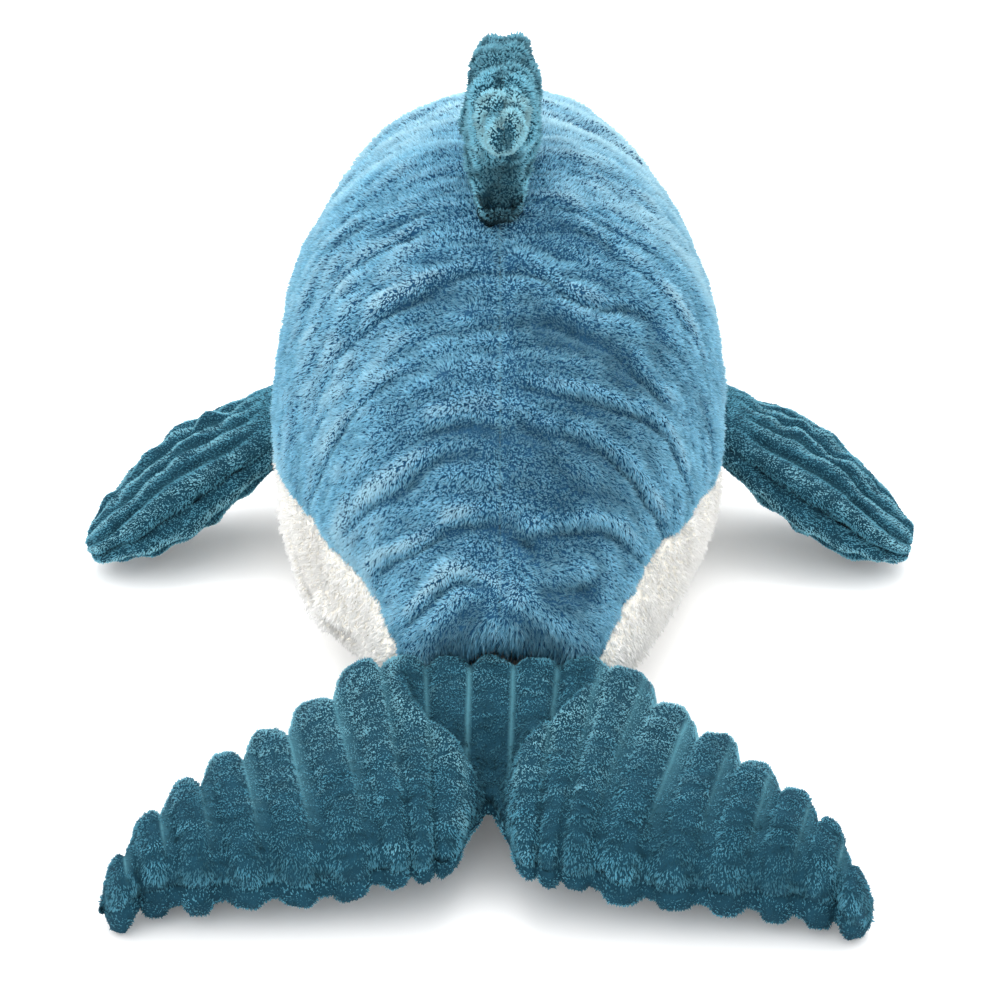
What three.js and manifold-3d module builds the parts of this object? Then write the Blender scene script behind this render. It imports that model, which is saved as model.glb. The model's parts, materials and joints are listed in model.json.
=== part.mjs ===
// Plush dolphin: short-pile fur body, wide-wale velour fins, polyester filling, plastic eyes.
// Millimetres. +Y runs from tail to head, +Z is up, and z = 0 is the surface it lies on.
import * as THREE from "three";
import { mergeVertices, toCreasedNormals } from "three/addons/utils/BufferGeometryUtils.js";
import Module from "manifold-3d";

const wasm = await Module();
wasm.setup();

// Cloth and fits
const fitGap = 0.3; // left between pieces that touch
const furThickness = 3; // fur cloth with its pile
const velourThickness = 3; // velour with its pile
const fillingSlack = 0.3; // the filling is this much smaller again than its cover
const leastFilling = 0.6; // half height of the thinnest filling in a fin
const weldDistance = 1e-4; // points closer than this are one

// Body, from the tail seam to the front of the head
const bodyRearY = -97.5;
const bodyFrontY = 212;
const bodyHalfWidth = 61.5;
const bodyWidestY = 20;
const tailHalfWidth = 23;
const crestZ = 118;
const crestY = 45;
const tailTopZ = 36.5;
const tailBottomZ = 2.5;
const bellyLowestY = 30;
const bellyPressedFlat = 0.5; // how deep the surface below flattens the belly
const noseZ = 46;
const waistShare = 0.4; // height of the greatest width, as a share of the section
const widthRearPower = 1.1; // above 1 the tail stock stays slim for longer
const widthFrontPower = 0.42; // below 1 the head is blunt
const crestRearPower = 0.8;
const crestFrontPower = 0.42;
const bellyRearPower = 0.5;
const bellyFrontPower = 0.32;
const upperRoundness = 2.2; // 2 is an ellipse, more is squarer
const lowerRoundness = 2.8;
const seamAngleTail = 18; // degrees above the waist at the tail
const seamAngleBody = -2;
const seamLevelY = 0; // ahead of this the side seam keeps its angle
const bodyRearRings = 27; // close enough together for the folds
const bodyFrontRings = 11;
const headCrowding = 1.8; // above 1 the rings draw closer together towards the head
const backFacets = 8; // from the side seam to the centre back
const bellyFacets = 12; // from one side seam to the other
const bodyFillingFacets = 20;
const fillingRingStep = 3; // the filling keeps every third ring of the cloth

// Folds across the back panels, where the cloth is fuller than the filling: the side, where the
// fold crosses the centre back, how far ahead of that it would meet the side seam, the shares of
// the way down to the seam between which it shows, and its height
const backFolds = [
  { side: 1, y: 34, drift: -10, from: 0.1, to: 0.9, height: 1 },
  { side: 1, y: 10, drift: -12, from: 0.04, to: 0.8, height: 1.1 },
  { side: 1, y: -5, drift: -8, from: 0.06, to: 0.7, height: 1.1 },
  { side: 1, y: -20, drift: -5, from: 0, to: 0.5, height: 1.4 },
  { side: 1, y: -49, drift: 13, from: 0.04, to: 1, height: 1.8 },
  { side: 1, y: -57, drift: 2, from: 0.03, to: 1, height: 2 },
  { side: 1, y: -78, drift: 11, from: 0.1, to: 1, height: 2 },
  { side: 1, y: -92, drift: -2, from: 0.05, to: 0.6, height: 1.4 },
  { side: -1, y: 24, drift: -14, from: 0.1, to: 0.95, height: 1 },
  { side: -1, y: 0, drift: -12, from: 0.1, to: 0.9, height: 1.1 },
  { side: -1, y: -20, drift: -8, from: 0, to: 0.55, height: 1.3 },
  { side: -1, y: -44, drift: 4, from: 0.3, to: 1, height: 1.3 },
  { side: -1, y: -63, drift: 8, from: 0.05, to: 0.9, height: 1.3 },
  { side: -1, y: -75, drift: 4, from: 0.15, to: 0.95, height: 2 },
  { side: -1, y: -90, drift: 0, from: 0, to: 0.8, height: 1.6 },
];
const foldReach = 4.5; // half width of a fold's crest
const creaseShare = 0.5; // depth of the crease behind a fold, as a share of its height
const creaseOffset = 1.8; // distance of that crease from the crest, as a share of foldReach

// Beak
const beakSeatDepth = 14; // its root starts this far behind the front of the head
const beakLength = 46;
const beakHalfWidth = 18;
const beakHalfHeight = 12.5;
const beakDrop = 7; // how far its tip lies below its root
const beakBlunt = 3.2;
const beakRingCount = 9;
const beakFacets = 8; // around one panel

// Safety eyes
const eyeSetback = 40; // behind the front of the head
const eyeAngle = 9; // degrees above the waist
const eyeRadius = 4.6;
const eyeDomeHeight = 3.4;
const shankRadius = 2;
const shankTipRadius = 1.4;
const shankTipLength = 1;
const shankLength = 9;
const washerRadius = 6;
const washerThickness = 1.4;
const eyeHoleLength = 30; // of the drill for the shank, past both faces of the fur
const eyeFacets = 14;

// Ribs of the velour
const ribPitch = 8.8;
const ribDepth = 1.8;
const ribLargestShare = 1 / 3; // of a fin's half thickness, so the ribs fade at its edges
const ringsPerRib = 3;
const rootRingCount = 3;
const grooveRings = 12;
const grooveFacets = 18;
const finFacets = 6; // around one panel

// Tail flukes, hinged about X at the tail seam
const flukeHingeGap = 2.5; // the hinge line lies this far behind the body's rear edge
const tailLipHeight = 3.7; // of the tail above and below the flukes' rounded front edge
const flukeRootOverhang = 5; // of the rounded edge past each side of the tail
const flukeHalfSpan = 84;
const flukeLength = 68; // along a rib, from the hinge line to the rear edge
const flukeSweep = 1.15; // mm back for each mm out
const flukeInnerRise = 12; // the rear edge comes forward this much towards the middle
const flukeInnerReach = 18;
const flukeNotchDepth = 20;
const flukeNotchHalfWidth = 5;
const flukeTipRise = 5; // and this much at the tips
const flukeTipRisePower = 6;
const flukeTaperPower = 4.5;
const flukeTaperRound = 0.5;
const flukeRearDrop = 3;
const flukeRibSpread = 0.18; // the middle ribs are this much wider than all on average
const flukeLean = 14; // degrees by which the lobes' ribs turn in towards the rear
const flukeLeanReach = 42; // from the middle to the first rib that leans fully
const flukePinchDepth = 5; // the middle sinks between the lobes
const flukePinchHalfWidth = 11;
const flukeFloorClearance = 0.4;
const flukeSettleLength = 18; // the lobes come down to the floor over this length
const flukeRoundness = 2; // 2 is an ellipse, more is squarer
const flukeRearRoundness = 2.5; // the seamed rear edge is blunter

// Flippers, hinged along Y in the side seams
const flipperHingeY = 42;
const flipperHingeAngle = -9; // degrees above the waist
const flipperHingeLift = 3.1; // the hinge line lies this far outside the skin
const flipperDroop = 27.5; // degrees below level
const flipperLength = 59.5;
const flipperRootHalfChord = 20;
const flipperRootRadius = 8.2;
const flipperChordSwell = 6.5;
const flipperThicknessSwell = 3.6;
const flipperSweep = 25;
const flipperSweepPower = 1.3;
const flipperBlunt = 7;
const flipperRoundness = 2.3;
const flipperRingCount = 9;
const flipperRingCrowding = 0.8; // below 1 the rings draw closer together towards the tip
const flipperEdgeShare = 0.04; // facets beside the edge seams, as a share of the chord
const flipperRibFade = 12; // the ribs rise over this length from the seam

// Dorsal fin, hinged along the centre back seam
const dorsalHingeY = 25;
const dorsalHalfChord = 31;
const dorsalRootRadius = 6.4;
const dorsalHingeLift = 1.4; // the hinge line lies this far above the back
const dorsalReachBack = 49; // from the root's middle to the tip
const dorsalReachUp = 30;
const dorsalThicknessSwell = 3.6;
const dorsalTipHalfChord = 8.5;
const dorsalBlunt = 4;
const dorsalRoundness = 3.2;
const dorsalTipRoundness = 2;
const dorsalRings = 21;
const dorsalSeatedShare = 0.8; // of its root that follows the slope of the back
const dorsalRibsFrom = 0.05; // shares of its length over which the ribs rise
const dorsalRibsTo = 0.2;

const flukeHingeY = bodyRearY - flukeHingeGap;
const flukeHingeZ = (tailTopZ + tailBottomZ) / 2;
const flukeRootRadius = (tailTopZ - tailBottomZ) / 2 - tailLipHeight;
const flukeRootHalfLength = tailHalfWidth + flukeRootOverhang;

const radians = THREE.MathUtils.degToRad;
const lerp = THREE.MathUtils.lerp;
const clamp = THREE.MathUtils.clamp;
const smoothstep = THREE.MathUtils.smoothstep;
const point = (x, y, z) => new THREE.Vector3(x, y, z);
const steps = (count) => Array.from({ length: count + 1 }, (_, i) => i / count);

// Closed mesh from quads, with shared points welded and empty triangles left out
function closedGeometry(quads) {
  const positions = [];
  for (const [a, b, c, d] of quads) {
    for (const p of [a, b, c, a, c, d]) positions.push(p.x, p.y, p.z);
  }
  const loose = new THREE.BufferGeometry();
  loose.setAttribute("position", new THREE.Float32BufferAttribute(positions, 3));
  const welded = mergeVertices(loose, weldDistance);
  const index = welded.getIndex().array;
  const kept = [];
  for (let i = 0; i < index.length; i += 3) {
    const [a, b, c] = [index[i], index[i + 1], index[i + 2]];
    if (a !== b && b !== c && c !== a) kept.push(a, b, c);
  }
  welded.setIndex(kept);
  if (signedVolume(welded) < 0) {
    for (let i = 0; i < kept.length; i += 3) [kept[i], kept[i + 1]] = [kept[i + 1], kept[i]];
    welded.setIndex(kept);
  }
  return welded;
}

function signedVolume(geometry) {
  const index = geometry.getIndex().array;
  const corners = [point(), point(), point()];
  let sum = 0;
  for (let i = 0; i < index.length; i += 3) {
    corners.forEach((p, k) => p.fromBufferAttribute(geometry.getAttribute("position"), index[i + k]));
    sum += corners[0].dot(corners[1].clone().cross(corners[2])) / 6;
  }
  return sum;
}

// Solid through closed rings of points, each end drawn together to its middle
function solidThrough(rings) {
  const middle = (ring) => {
    const centre = ring.reduce((sum, p) => sum.add(p), point(0, 0, 0)).divideScalar(ring.length);
    return ring.map(() => centre);
  };
  const rows = [middle(rings[0]), ...rings, middle(rings.at(-1))];
  const quads = [];
  for (let s = 0; s + 1 < rows.length; s++) {
    for (let k = 0; k < rows[s].length; k++) {
      const next = (k + 1) % rows[s].length;
      quads.push([rows[s][k], rows[s][next], rows[s + 1][next], rows[s + 1][k]]);
    }
  }
  return closedGeometry(quads);
}

// Cloth panel between an outer and an inner face, each given as rows of points
function panelBetween(outer, inner) {
  const last = outer[0].length - 1;
  const end = outer.length - 1;
  const quads = [];
  for (let s = 0; s < end; s++) {
    for (let k = 0; k < last; k++) {
      quads.push([outer[s][k], outer[s][k + 1], outer[s + 1][k + 1], outer[s + 1][k]]);
      quads.push([inner[s][k], inner[s + 1][k], inner[s + 1][k + 1], inner[s][k + 1]]);
    }
    quads.push([outer[s][0], outer[s + 1][0], inner[s + 1][0], inner[s][0]]);
    quads.push([outer[s][last], inner[s][last], inner[s + 1][last], outer[s + 1][last]]);
  }
  for (let k = 0; k < last; k++) {
    quads.push([outer[0][k], inner[0][k], inner[0][k + 1], outer[0][k + 1]]);
    quads.push([outer[end][k], outer[end][k + 1], inner[end][k + 1], inner[end][k]]);
  }
  return closedGeometry(quads);
}

function toSolid(geometry) {
  const plain = geometry.clone();
  plain.deleteAttribute("normal");
  plain.deleteAttribute("uv");
  const welded = mergeVertices(plain, weldDistance);
  return new wasm.Manifold(
    new wasm.Mesh({
      numProp: 3,
      vertProperties: new Float32Array(welded.getAttribute("position").array),
      triVerts: new Uint32Array(welded.getIndex().array),
    }),
  );
}

function toGeometry(solid) {
  const mesh = solid.getMesh();
  const geometry = new THREE.BufferGeometry();
  geometry.setAttribute("position", new THREE.BufferAttribute(new Float32Array(mesh.vertProperties), 3));
  geometry.setIndex(Array.from(mesh.triVerts));
  return geometry;
}

// The first geometry less the others
function cut(geometry, ...cutters) {
  const left = cutters.reduce((solid, cutter) => solid.subtract(toSolid(cutter)), toSolid(geometry));
  return toGeometry(left);
}

function material(color, roughness, metalness = 0) {
  return new THREE.MeshStandardMaterial({ color, roughness, metalness });
}

const backFur = () => material(0x467f9f, 0.95);
const bellyFur = () => material(0xf3f1ec, 0.95);
const velour = () => material(0x2b6478, 0.85);
const filling = () => material(0xe9e9e6, 1);
const eyePlastic = () => material(0x14161a, 0.2);
const washerPlastic = () => material(0xd9dadb, 0.5);

const dolphin = new THREE.Group();

function addPiece(parent, name, geometry, finish) {
  const mesh = new THREE.Mesh(toCreasedNormals(geometry, radians(35)), finish);
  mesh.name = name;
  parent.add(mesh);
  return mesh;
}

// Body sections

// A value along the body that goes from its rear value to its peak and on to its front value
function along(y, [rear, peak, front], peakY, frontY, rearPower, frontPower) {
  const endY = y < peakY ? bodyRearY : frontY;
  const share = clamp((peakY - y) / (peakY - endY), 0, 1);
  const swell = Math.max(0, Math.cos((share * Math.PI) / 2));
  return y < peakY ? lerp(rear, peak, swell ** rearPower) : lerp(front, peak, swell ** frontPower);
}

function bodySection(y, inset) {
  const frontY = bodyFrontY - inset;
  const widths = [tailHalfWidth - inset, bodyHalfWidth - inset, 0];
  const tops = [tailTopZ - inset, crestZ - inset, noseZ];
  const bottoms = [tailBottomZ + inset, inset - bellyPressedFlat, noseZ];
  const halfWidth = along(y, widths, bodyWidestY, frontY, widthRearPower, widthFrontPower);
  const top = along(y, tops, crestY, frontY, crestRearPower, crestFrontPower);
  const bottom = along(y, bottoms, bellyLowestY, frontY, bellyRearPower, bellyFrontPower);
  return { halfWidth, top, bottom, waist: lerp(bottom, top, waistShare) };
}

// Point of the body at an angle above the waist, on the side given as -1 or 1
function bodyPoint(y, angle, side, inset) {
  const { halfWidth, top, bottom, waist } = bodySection(y, inset);
  const power = 2 / (angle > 0 ? upperRoundness : lowerRoundness);
  const out = Math.max(0, Math.cos(radians(angle))) ** power;
  const rise = Math.abs(Math.sin(radians(angle))) ** power;
  const z = angle > 0 ? lerp(waist, top, rise) : lerp(waist, bottom, rise);
  return point(side * halfWidth * out, y, z);
}

// Place on the skin, and the direction straight out of it
function skinSeat(y, angle, side) {
  const seat = bodyPoint(y, angle, side, 0);
  const forward = bodyPoint(y + 1, angle, side, 0).sub(seat);
  const upward = bodyPoint(y, angle + 1, side, 0).sub(seat);
  const outward = forward.cross(upward).normalize();
  return { seat, outward: outward.x * side < 0 ? outward.negate() : outward };
}

const seamAngle = (y) => {
  const share = clamp((y - bodyRearY) / (seamLevelY - bodyRearY), 0, 1);
  return lerp(seamAngleTail, seamAngleBody, smoothstep(share, 0, 1));
};

// Stations along the body, closer together towards the blunt head
function bodyStations(inset) {
  const frontY = bodyFrontY - inset;
  const rear = steps(bodyRearRings).map((s) => lerp(bodyRearY, bodyWidestY, s));
  const front = steps(bodyFrontRings).slice(1);
  return [...rear, ...front.map((s) => lerp(bodyWidestY, frontY, 1 - (1 - s) ** headCrowding))];
}

// Height of the folds at a place along the back, down from its centre by a share of the way
function foldHeight(y, down, side) {
  const heights = backFolds.map((fold) => {
    if (fold.side !== side) return 0;
    const shown = Math.sin(Math.PI * clamp((down - fold.from) / (fold.to - fold.from), 0, 1));
    const off = (y - fold.y - fold.drift * down) / foldReach;
    const crease = creaseShare * Math.exp(-((off + creaseOffset) ** 2));
    return fold.height * Math.sqrt(shown) * (Math.exp(-(off ** 2)) - crease);
  });
  return heights.reduce((sum, height) => sum + height, 0);
}

// The outer face has the folds, and the inner face is smooth
function backRows(side, inset) {
  return bodyStations(inset).map((y) =>
    steps(backFacets).map((s) => {
      const angle = lerp(seamAngle(y), 90, s);
      const p = bodyPoint(y, angle, side, inset);
      if (inset === 0) p.addScaledVector(skinSeat(y, angle, side).outward, foldHeight(y, 1 - s, side));
      p.x = side * Math.max(Math.abs(p.x), fitGap / 2);
      p.z += (fitGap / 2) * (1 - s);
      return p;
    }),
  );
}

function bellyRows(inset) {
  return bodyStations(inset).map((y) =>
    steps(bellyFacets).map((s) => {
      const share = 2 * s - 1;
      const p = bodyPoint(y, lerp(-90, seamAngle(y), Math.abs(share)), Math.sign(share), inset);
      p.z -= (fitGap / 2) * Math.abs(share);
      return p;
    }),
  );
}

function bodyRings(inset, facets) {
  const rings = bodyStations(inset).filter((y, i) => i % fillingRingStep === 0 || y > bodyWidestY);
  return rings.map((y) =>
    Array.from({ length: facets }, (_, k) => {
      const turn = (360 * k) / facets;
      const side = turn < 180 ? 1 : -1;
      return bodyPoint(y, side > 0 ? 90 - turn : turn - 270, side, inset);
    }),
  );
}

// Fins: rings of a rounded blade along its own line

// A fin's stations hold a centre, a chord direction, a thickness direction, the half chord
// ahead and behind, the half thickness, how square the section is, the depth of the ribs and,
// where its middle is pinched, how deeply
function bladePoint(station, angle, inset) {
  const ahead = Math.max(0, station.ahead - inset);
  const behind = Math.max(0, station.behind - inset);
  const pinch = station.pinch ? station.pinch(angle) : 0;
  const thick = Math.max(0, station.thick - inset - pinch);
  const rib = inset > 0 ? 0 : station.rib(angle);
  const roundness = (Math.cos(angle) < 0 && station.rearRoundness) || station.roundness;
  const rounded = (value) => Math.sign(value) * Math.abs(value) ** (2 / roundness);
  const chordwise = rounded(Math.cos(angle));
  const thicknesswise = angle % Math.PI === 0 ? 0 : rounded(Math.sin(angle));
  return station.centre
    .clone()
    .addScaledVector(station.chord, chordwise * ((chordwise > 0 ? ahead : behind) - rib))
    .addScaledVector(station.normal, thicknesswise * (thick - rib));
}

function hasFilling({ ahead, behind, thick }) {
  return Math.min(ahead, behind, thick) > velourThickness + leastFilling;
}

const evenAngles = (facets) => steps(facets).map((s) => Math.PI * s);
const everySecond = (angles) => angles.filter((_, i) => i % 2 === 0);

// One cloth panel of a fin, the upper with side 1 and the lower with side -1
function finPanel(stations, angles, side) {
  const shift = (p, station) => p.addScaledVector(station.normal, (side * fitGap) / 2);
  const outer = stations.map((st) => angles.map((a) => shift(bladePoint(st, side * a, 0), st)));
  const inside = (st, a) => (hasFilling(st) ? bladePoint(st, a, velourThickness) : st.centre.clone());
  const inner = stations.map((st) => angles.map((a) => shift(inside(st, side * a), st)));
  return panelBetween(outer, inner);
}

function finFilling(stations, angles) {
  const inset = velourThickness + fitGap;
  const around = [...angles, ...angles.slice(1, -1).map((a) => -a).reverse()];
  const filled = stations.filter(hasFilling);
  return solidThrough(filled.map((st) => around.map((a) => bladePoint(st, a, inset))));
}

// Rounded root, as stations that swell from nothing to the hinge line
function rootStations(radius, halfChord, roundness, directions) {
  return steps(rootRingCount)
    .slice(0, -1)
    .map((s) => {
      const turn = (s * Math.PI) / 2;
      const spread = halfChord * (1 - Math.cos(turn) ** roundness) ** (1 / roundness);
      return {
        centre: directions.outward.clone().multiplyScalar(-radius * Math.cos(turn)),
        chord: directions.chord,
        normal: directions.normal,
        ahead: spread,
        behind: spread,
        thick: radius * Math.sin(turn),
        roundness,
        rib: () => 0,
      };
    });
}

// Groove along Y that a rounded root turns in, a little blunter than the root
function rootGroove(radius, halfChord, roundness) {
  const blunter = roundness + 1;
  const profile = steps(grooveRings).map((s) => {
    const share = -Math.cos(Math.PI * s);
    const across = Math.max(0, 1 - Math.abs(share) ** blunter) ** (1 / blunter);
    return new THREE.Vector2((radius + fitGap) * across, (halfChord + fitGap) * share);
  });
  return new THREE.LatheGeometry(profile, grooveFacets);
}

// Depth below the crests of the ribs, counted in ribs from a valley, on cloth of a half thickness
function ribValley(ribs, thick) {
  return Math.min(ribDepth * Math.abs(Math.cos(Math.PI * ribs)) ** 3, thick * ribLargestShare);
}

// Tail flukes
function flukeStation(x) {
  const out = Math.abs(x);
  const beyond = clamp((out - flukeRootHalfLength) / (flukeHalfSpan - flukeRootHalfLength), 0, 1);
  const taper = Math.max(0, 1 - beyond ** flukeTaperPower) ** flukeTaperRound;
  const thick = flukeRootRadius * taper;
  const settled = smoothstep(out - flukeRootHalfLength, 0, flukeSettleLength);
  const centreY = flukeHingeY - flukeSweep * Math.max(0, out - flukeRootHalfLength);
  const innerRise = flukeInnerRise * Math.exp(-out / flukeInnerReach);
  const notch = flukeNotchDepth * Math.exp(-((out / flukeNotchHalfWidth) ** 2));
  const tipRise = flukeTipRise * beyond ** flukeTipRisePower;
  const rearY = flukeHingeY - flukeLength + innerRise + notch + tipRise;
  const centreZ = lerp(flukeHingeZ, thick + flukeFloorClearance, settled);
  const fall = (flukeRearDrop * (1 - settled)) / (centreY - rearY);
  const lean = radians(flukeLean) * smoothstep(out, 0, flukeLeanReach) * -Math.sign(x);
  const turn = new THREE.Matrix4().makeRotationZ(lean);
  const chord = point(0, 1, fall).normalize().applyMatrix4(turn);
  const middling = Math.exp(-((x / flukePinchHalfWidth) ** 2));
  return {
    centre: point(x, centreY, centreZ),
    chord,
    normal: point(1, 0, 0).applyMatrix4(turn).cross(chord),
    ahead: thick,
    behind: lerp(thick, centreY - rearY, smoothstep(taper, 0, 0.5)),
    thick,
    roundness: flukeRoundness,
    rearRoundness: flukeRearRoundness,
    pinch: (angle) => flukePinchDepth * middling * smoothstep(-Math.cos(angle), 0, 1),
  };
}

function flukeStations() {
  const ribs = Math.round((2 * flukeHalfSpan) / ribPitch);
  return steps(ribs * ringsPerRib).map((s) => {
    const share = 2 * s - 1;
    const x = flukeHalfSpan * share * (1 + flukeRibSpread * (1 - share ** 2));
    const station = flukeStation(x);
    const valley = ribValley(s * ribs, station.thick);
    return { ...station, rib: () => valley };
  });
}

const flukes = new THREE.Group();
const flukeRings = flukeStations();
const flukeAngles = evenAngles(finFacets);
addPiece(flukes, "fluke_upper_panel", finPanel(flukeRings, flukeAngles, 1), velour());
addPiece(flukes, "fluke_lower_panel", finPanel(flukeRings, flukeAngles, -1), velour());
// The filling keeps every ring until the lobes have settled, and one ring a rib further out
const flukeSettledX = flukeRootHalfLength + flukeSettleLength;
const oneARib = (station, i) => i % ringsPerRib === 0 || Math.abs(station.centre.x) < flukeSettledX;
const flukeCore = finFilling(flukeRings.filter(oneARib), everySecond(flukeAngles));
addPiece(flukes, "fluke_filling", flukeCore, filling());
dolphin.add(flukes);

// Flippers, built pointing along +X from their hinge line and turned into place
const flipperRibs = Math.round((2 * flipperRootHalfChord) / ribPitch);

// Facet angles that meet each lengthwise rib on its crest and in its valleys
const signedPower = (value, power) => Math.sign(value) * Math.abs(value) ** power;
const flipperCrests = steps(2 * flipperRibs).slice(1, -1);
const flipperShares = [0, flipperEdgeShare, ...flipperCrests, 1 - flipperEdgeShare, 1];
const flipperAngle = (share) => Math.acos(signedPower(1 - 2 * share, flipperRoundness / 2));
const flipperShare = (angle) => (1 - signedPower(Math.cos(angle), 2 / flipperRoundness)) / 2;
const flipperAngles = flipperShares.map(flipperAngle);

function flipperStations() {
  const directions = { outward: point(1, 0, 0), chord: point(0, 1, 0), normal: point(0, 0, 1) };
  const root = rootStations(flipperRootRadius, flipperRootHalfChord, flipperRoundness, directions);
  const blade = steps(flipperRingCount).map((s) => {
    const share = s ** flipperRingCrowding;
    const swell = Math.sin(Math.PI * share);
    const closing = Math.sqrt(Math.max(0, 1 - share ** flipperBlunt));
    const halfChord = (flipperRootHalfChord + flipperChordSwell * swell) * closing;
    const thick = (flipperRootRadius + flipperThicknessSwell * swell ** 2) * closing;
    const ribShown = smoothstep(share * flipperLength, 0, flipperRibFade);
    const sweep = -flipperSweep * share ** flipperSweepPower;
    return {
      ...directions,
      centre: point(flipperLength * share, sweep, 0),
      ahead: halfChord,
      behind: halfChord,
      thick,
      roundness: flipperRoundness,
      rib: (angle) => ribValley(flipperShare(angle) * flipperRibs, thick) * ribShown,
    };
  });
  return [...root, ...blade];
}

const flipperGroove = rootGroove(flipperRootRadius, flipperRootHalfChord, flipperRoundness);
const flipperGrooves = [];
for (const [word, side] of [["left", -1], ["right", 1]]) {
  const { seat, outward } = skinSeat(flipperHingeY, flipperHingeAngle, side);
  const hinge = new THREE.Group();
  hinge.position.copy(seat).addScaledVector(outward, flipperHingeLift);
  hinge.rotation.y = side > 0 ? radians(flipperDroop) : Math.PI - radians(flipperDroop);
  const stations = flipperStations();
  // Turning the left flipper round puts its first face below
  const upper = finPanel(stations, flipperAngles, side);
  const lower = finPanel(stations, flipperAngles, -side);
  const core = finFilling(stations, everySecond(flipperAngles));
  addPiece(hinge, `flipper_${word}_upper_panel`, upper, velour());
  addPiece(hinge, `flipper_${word}_lower_panel`, lower, velour());
  addPiece(hinge, `flipper_${word}_filling`, core, filling());
  hinge.updateMatrixWorld(true);
  flipperGrooves.push(flipperGroove.clone().applyMatrix4(hinge.matrixWorld));
  dolphin.add(hinge);
}

// Dorsal fin, in the middle plane, its tip curling back
const backTop = (y) => bodySection(y, 0).top;
const dorsalSeat = dorsalSeatedShare * dorsalHalfChord;
const dorsalRise = backTop(dorsalHingeY + dorsalSeat) - backTop(dorsalHingeY - dorsalSeat);
const dorsalSlope = Math.atan2(dorsalRise, 2 * dorsalSeat);
const dorsalHingeZ = backTop(dorsalHingeY) + dorsalHingeLift;

function dorsalStations() {
  const directions = { outward: point(0, 0, 1), chord: point(0, 1, 0), normal: point(1, 0, 0) };
  const root = rootStations(dorsalRootRadius, dorsalHalfChord, dorsalRoundness, directions);
  const blade = steps(dorsalRings).map((s) => {
    const turn = (s * Math.PI) / 2;
    const back = dorsalReachBack * (1 - Math.cos(turn));
    const up = dorsalReachUp * Math.sin(turn);
    const heading = point(0, -dorsalReachBack * Math.sin(turn), dorsalReachUp * Math.cos(turn));
    const closing = Math.sqrt(Math.max(0, 1 - s ** dorsalBlunt));
    const halfChord = lerp(dorsalHalfChord, dorsalTipHalfChord, smoothstep(s, 0, 0.9)) * closing;
    const thick = (dorsalRootRadius + dorsalThicknessSwell * Math.sin(Math.PI * s) ** 2) * closing;
    const ribShown = smoothstep(s, dorsalRibsFrom, dorsalRibsTo);
    return {
      centre: point(0, -back, up),
      chord: heading.normalize().cross(point(1, 0, 0)),
      normal: directions.normal,
      ahead: halfChord,
      behind: halfChord,
      thick,
      roundness: lerp(dorsalRoundness, dorsalTipRoundness, s),
      rib: () => ribValley((s * dorsalRings) / ringsPerRib, thick) * ribShown,
    };
  });
  return [...root, ...blade];
}

const dorsal = new THREE.Group();
dorsal.position.set(0, dorsalHingeY, dorsalHingeZ);
dorsal.rotation.x = dorsalSlope;
const dorsalBlade = dorsalStations();
const dorsalAngles = evenAngles(finFacets);
addPiece(dorsal, "dorsal_fin_right_panel", finPanel(dorsalBlade, dorsalAngles, 1), velour());
addPiece(dorsal, "dorsal_fin_left_panel", finPanel(dorsalBlade, dorsalAngles, -1), velour());
addPiece(dorsal, "dorsal_fin_filling", finFilling(dorsalBlade, dorsalAngles), filling());
dorsal.updateMatrixWorld(true);
dolphin.add(dorsal);
const dorsalGroove = rootGroove(dorsalRootRadius, dorsalHalfChord, dorsalRoundness);
dorsalGroove.applyMatrix4(dorsal.matrixWorld);

// Groove across the tail end for the flukes' rounded front edge
const flukeGrooveRadius = flukeRootRadius + fitGap;
const flukeGroove = new THREE.CylinderGeometry(
  flukeGrooveRadius,
  flukeGrooveRadius,
  2 * bodyHalfWidth,
  2 * grooveFacets,
);
flukeGroove.rotateZ(Math.PI / 2);
flukeGroove.translate(0, flukeHingeY, flukeHingeZ);

// Space below the surface that the belly rests on
const belowFloor = new THREE.BoxGeometry(2 * bodyHalfWidth, 2 * bodyFrontY, 2 * bodyHalfWidth);
belowFloor.translate(0, 0, -bodyHalfWidth);

// Safety eyes: a dome outside, a shank through the fur and a locking washer inside
const domeRise = (s) => [
  eyeRadius * Math.cos((s * Math.PI) / 2),
  fitGap + eyeDomeHeight * Math.sin((s * Math.PI) / 2),
];
const eyeProfile = [
  [0, -shankLength],
  [shankTipRadius, -shankLength],
  [shankRadius, shankTipLength - shankLength],
  [shankRadius, fitGap],
  ...steps(4).slice(0, -1).map(domeRise),
  [0, fitGap + eyeDomeHeight],
];
const eyeHoleRadius = shankRadius + fitGap;
const washerTop = -furThickness - fitGap;
const washerProfile = [
  [eyeHoleRadius, washerTop - washerThickness],
  [washerRadius, washerTop - washerThickness],
  [washerRadius, washerTop],
  [eyeHoleRadius, washerTop],
  [eyeHoleRadius, washerTop - washerThickness],
];

// Solid turned from a profile of [radius, height] points
function turned(profile) {
  return new THREE.LatheGeometry(profile.map(([r, z]) => new THREE.Vector2(r, z)), eyeFacets);
}

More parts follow.
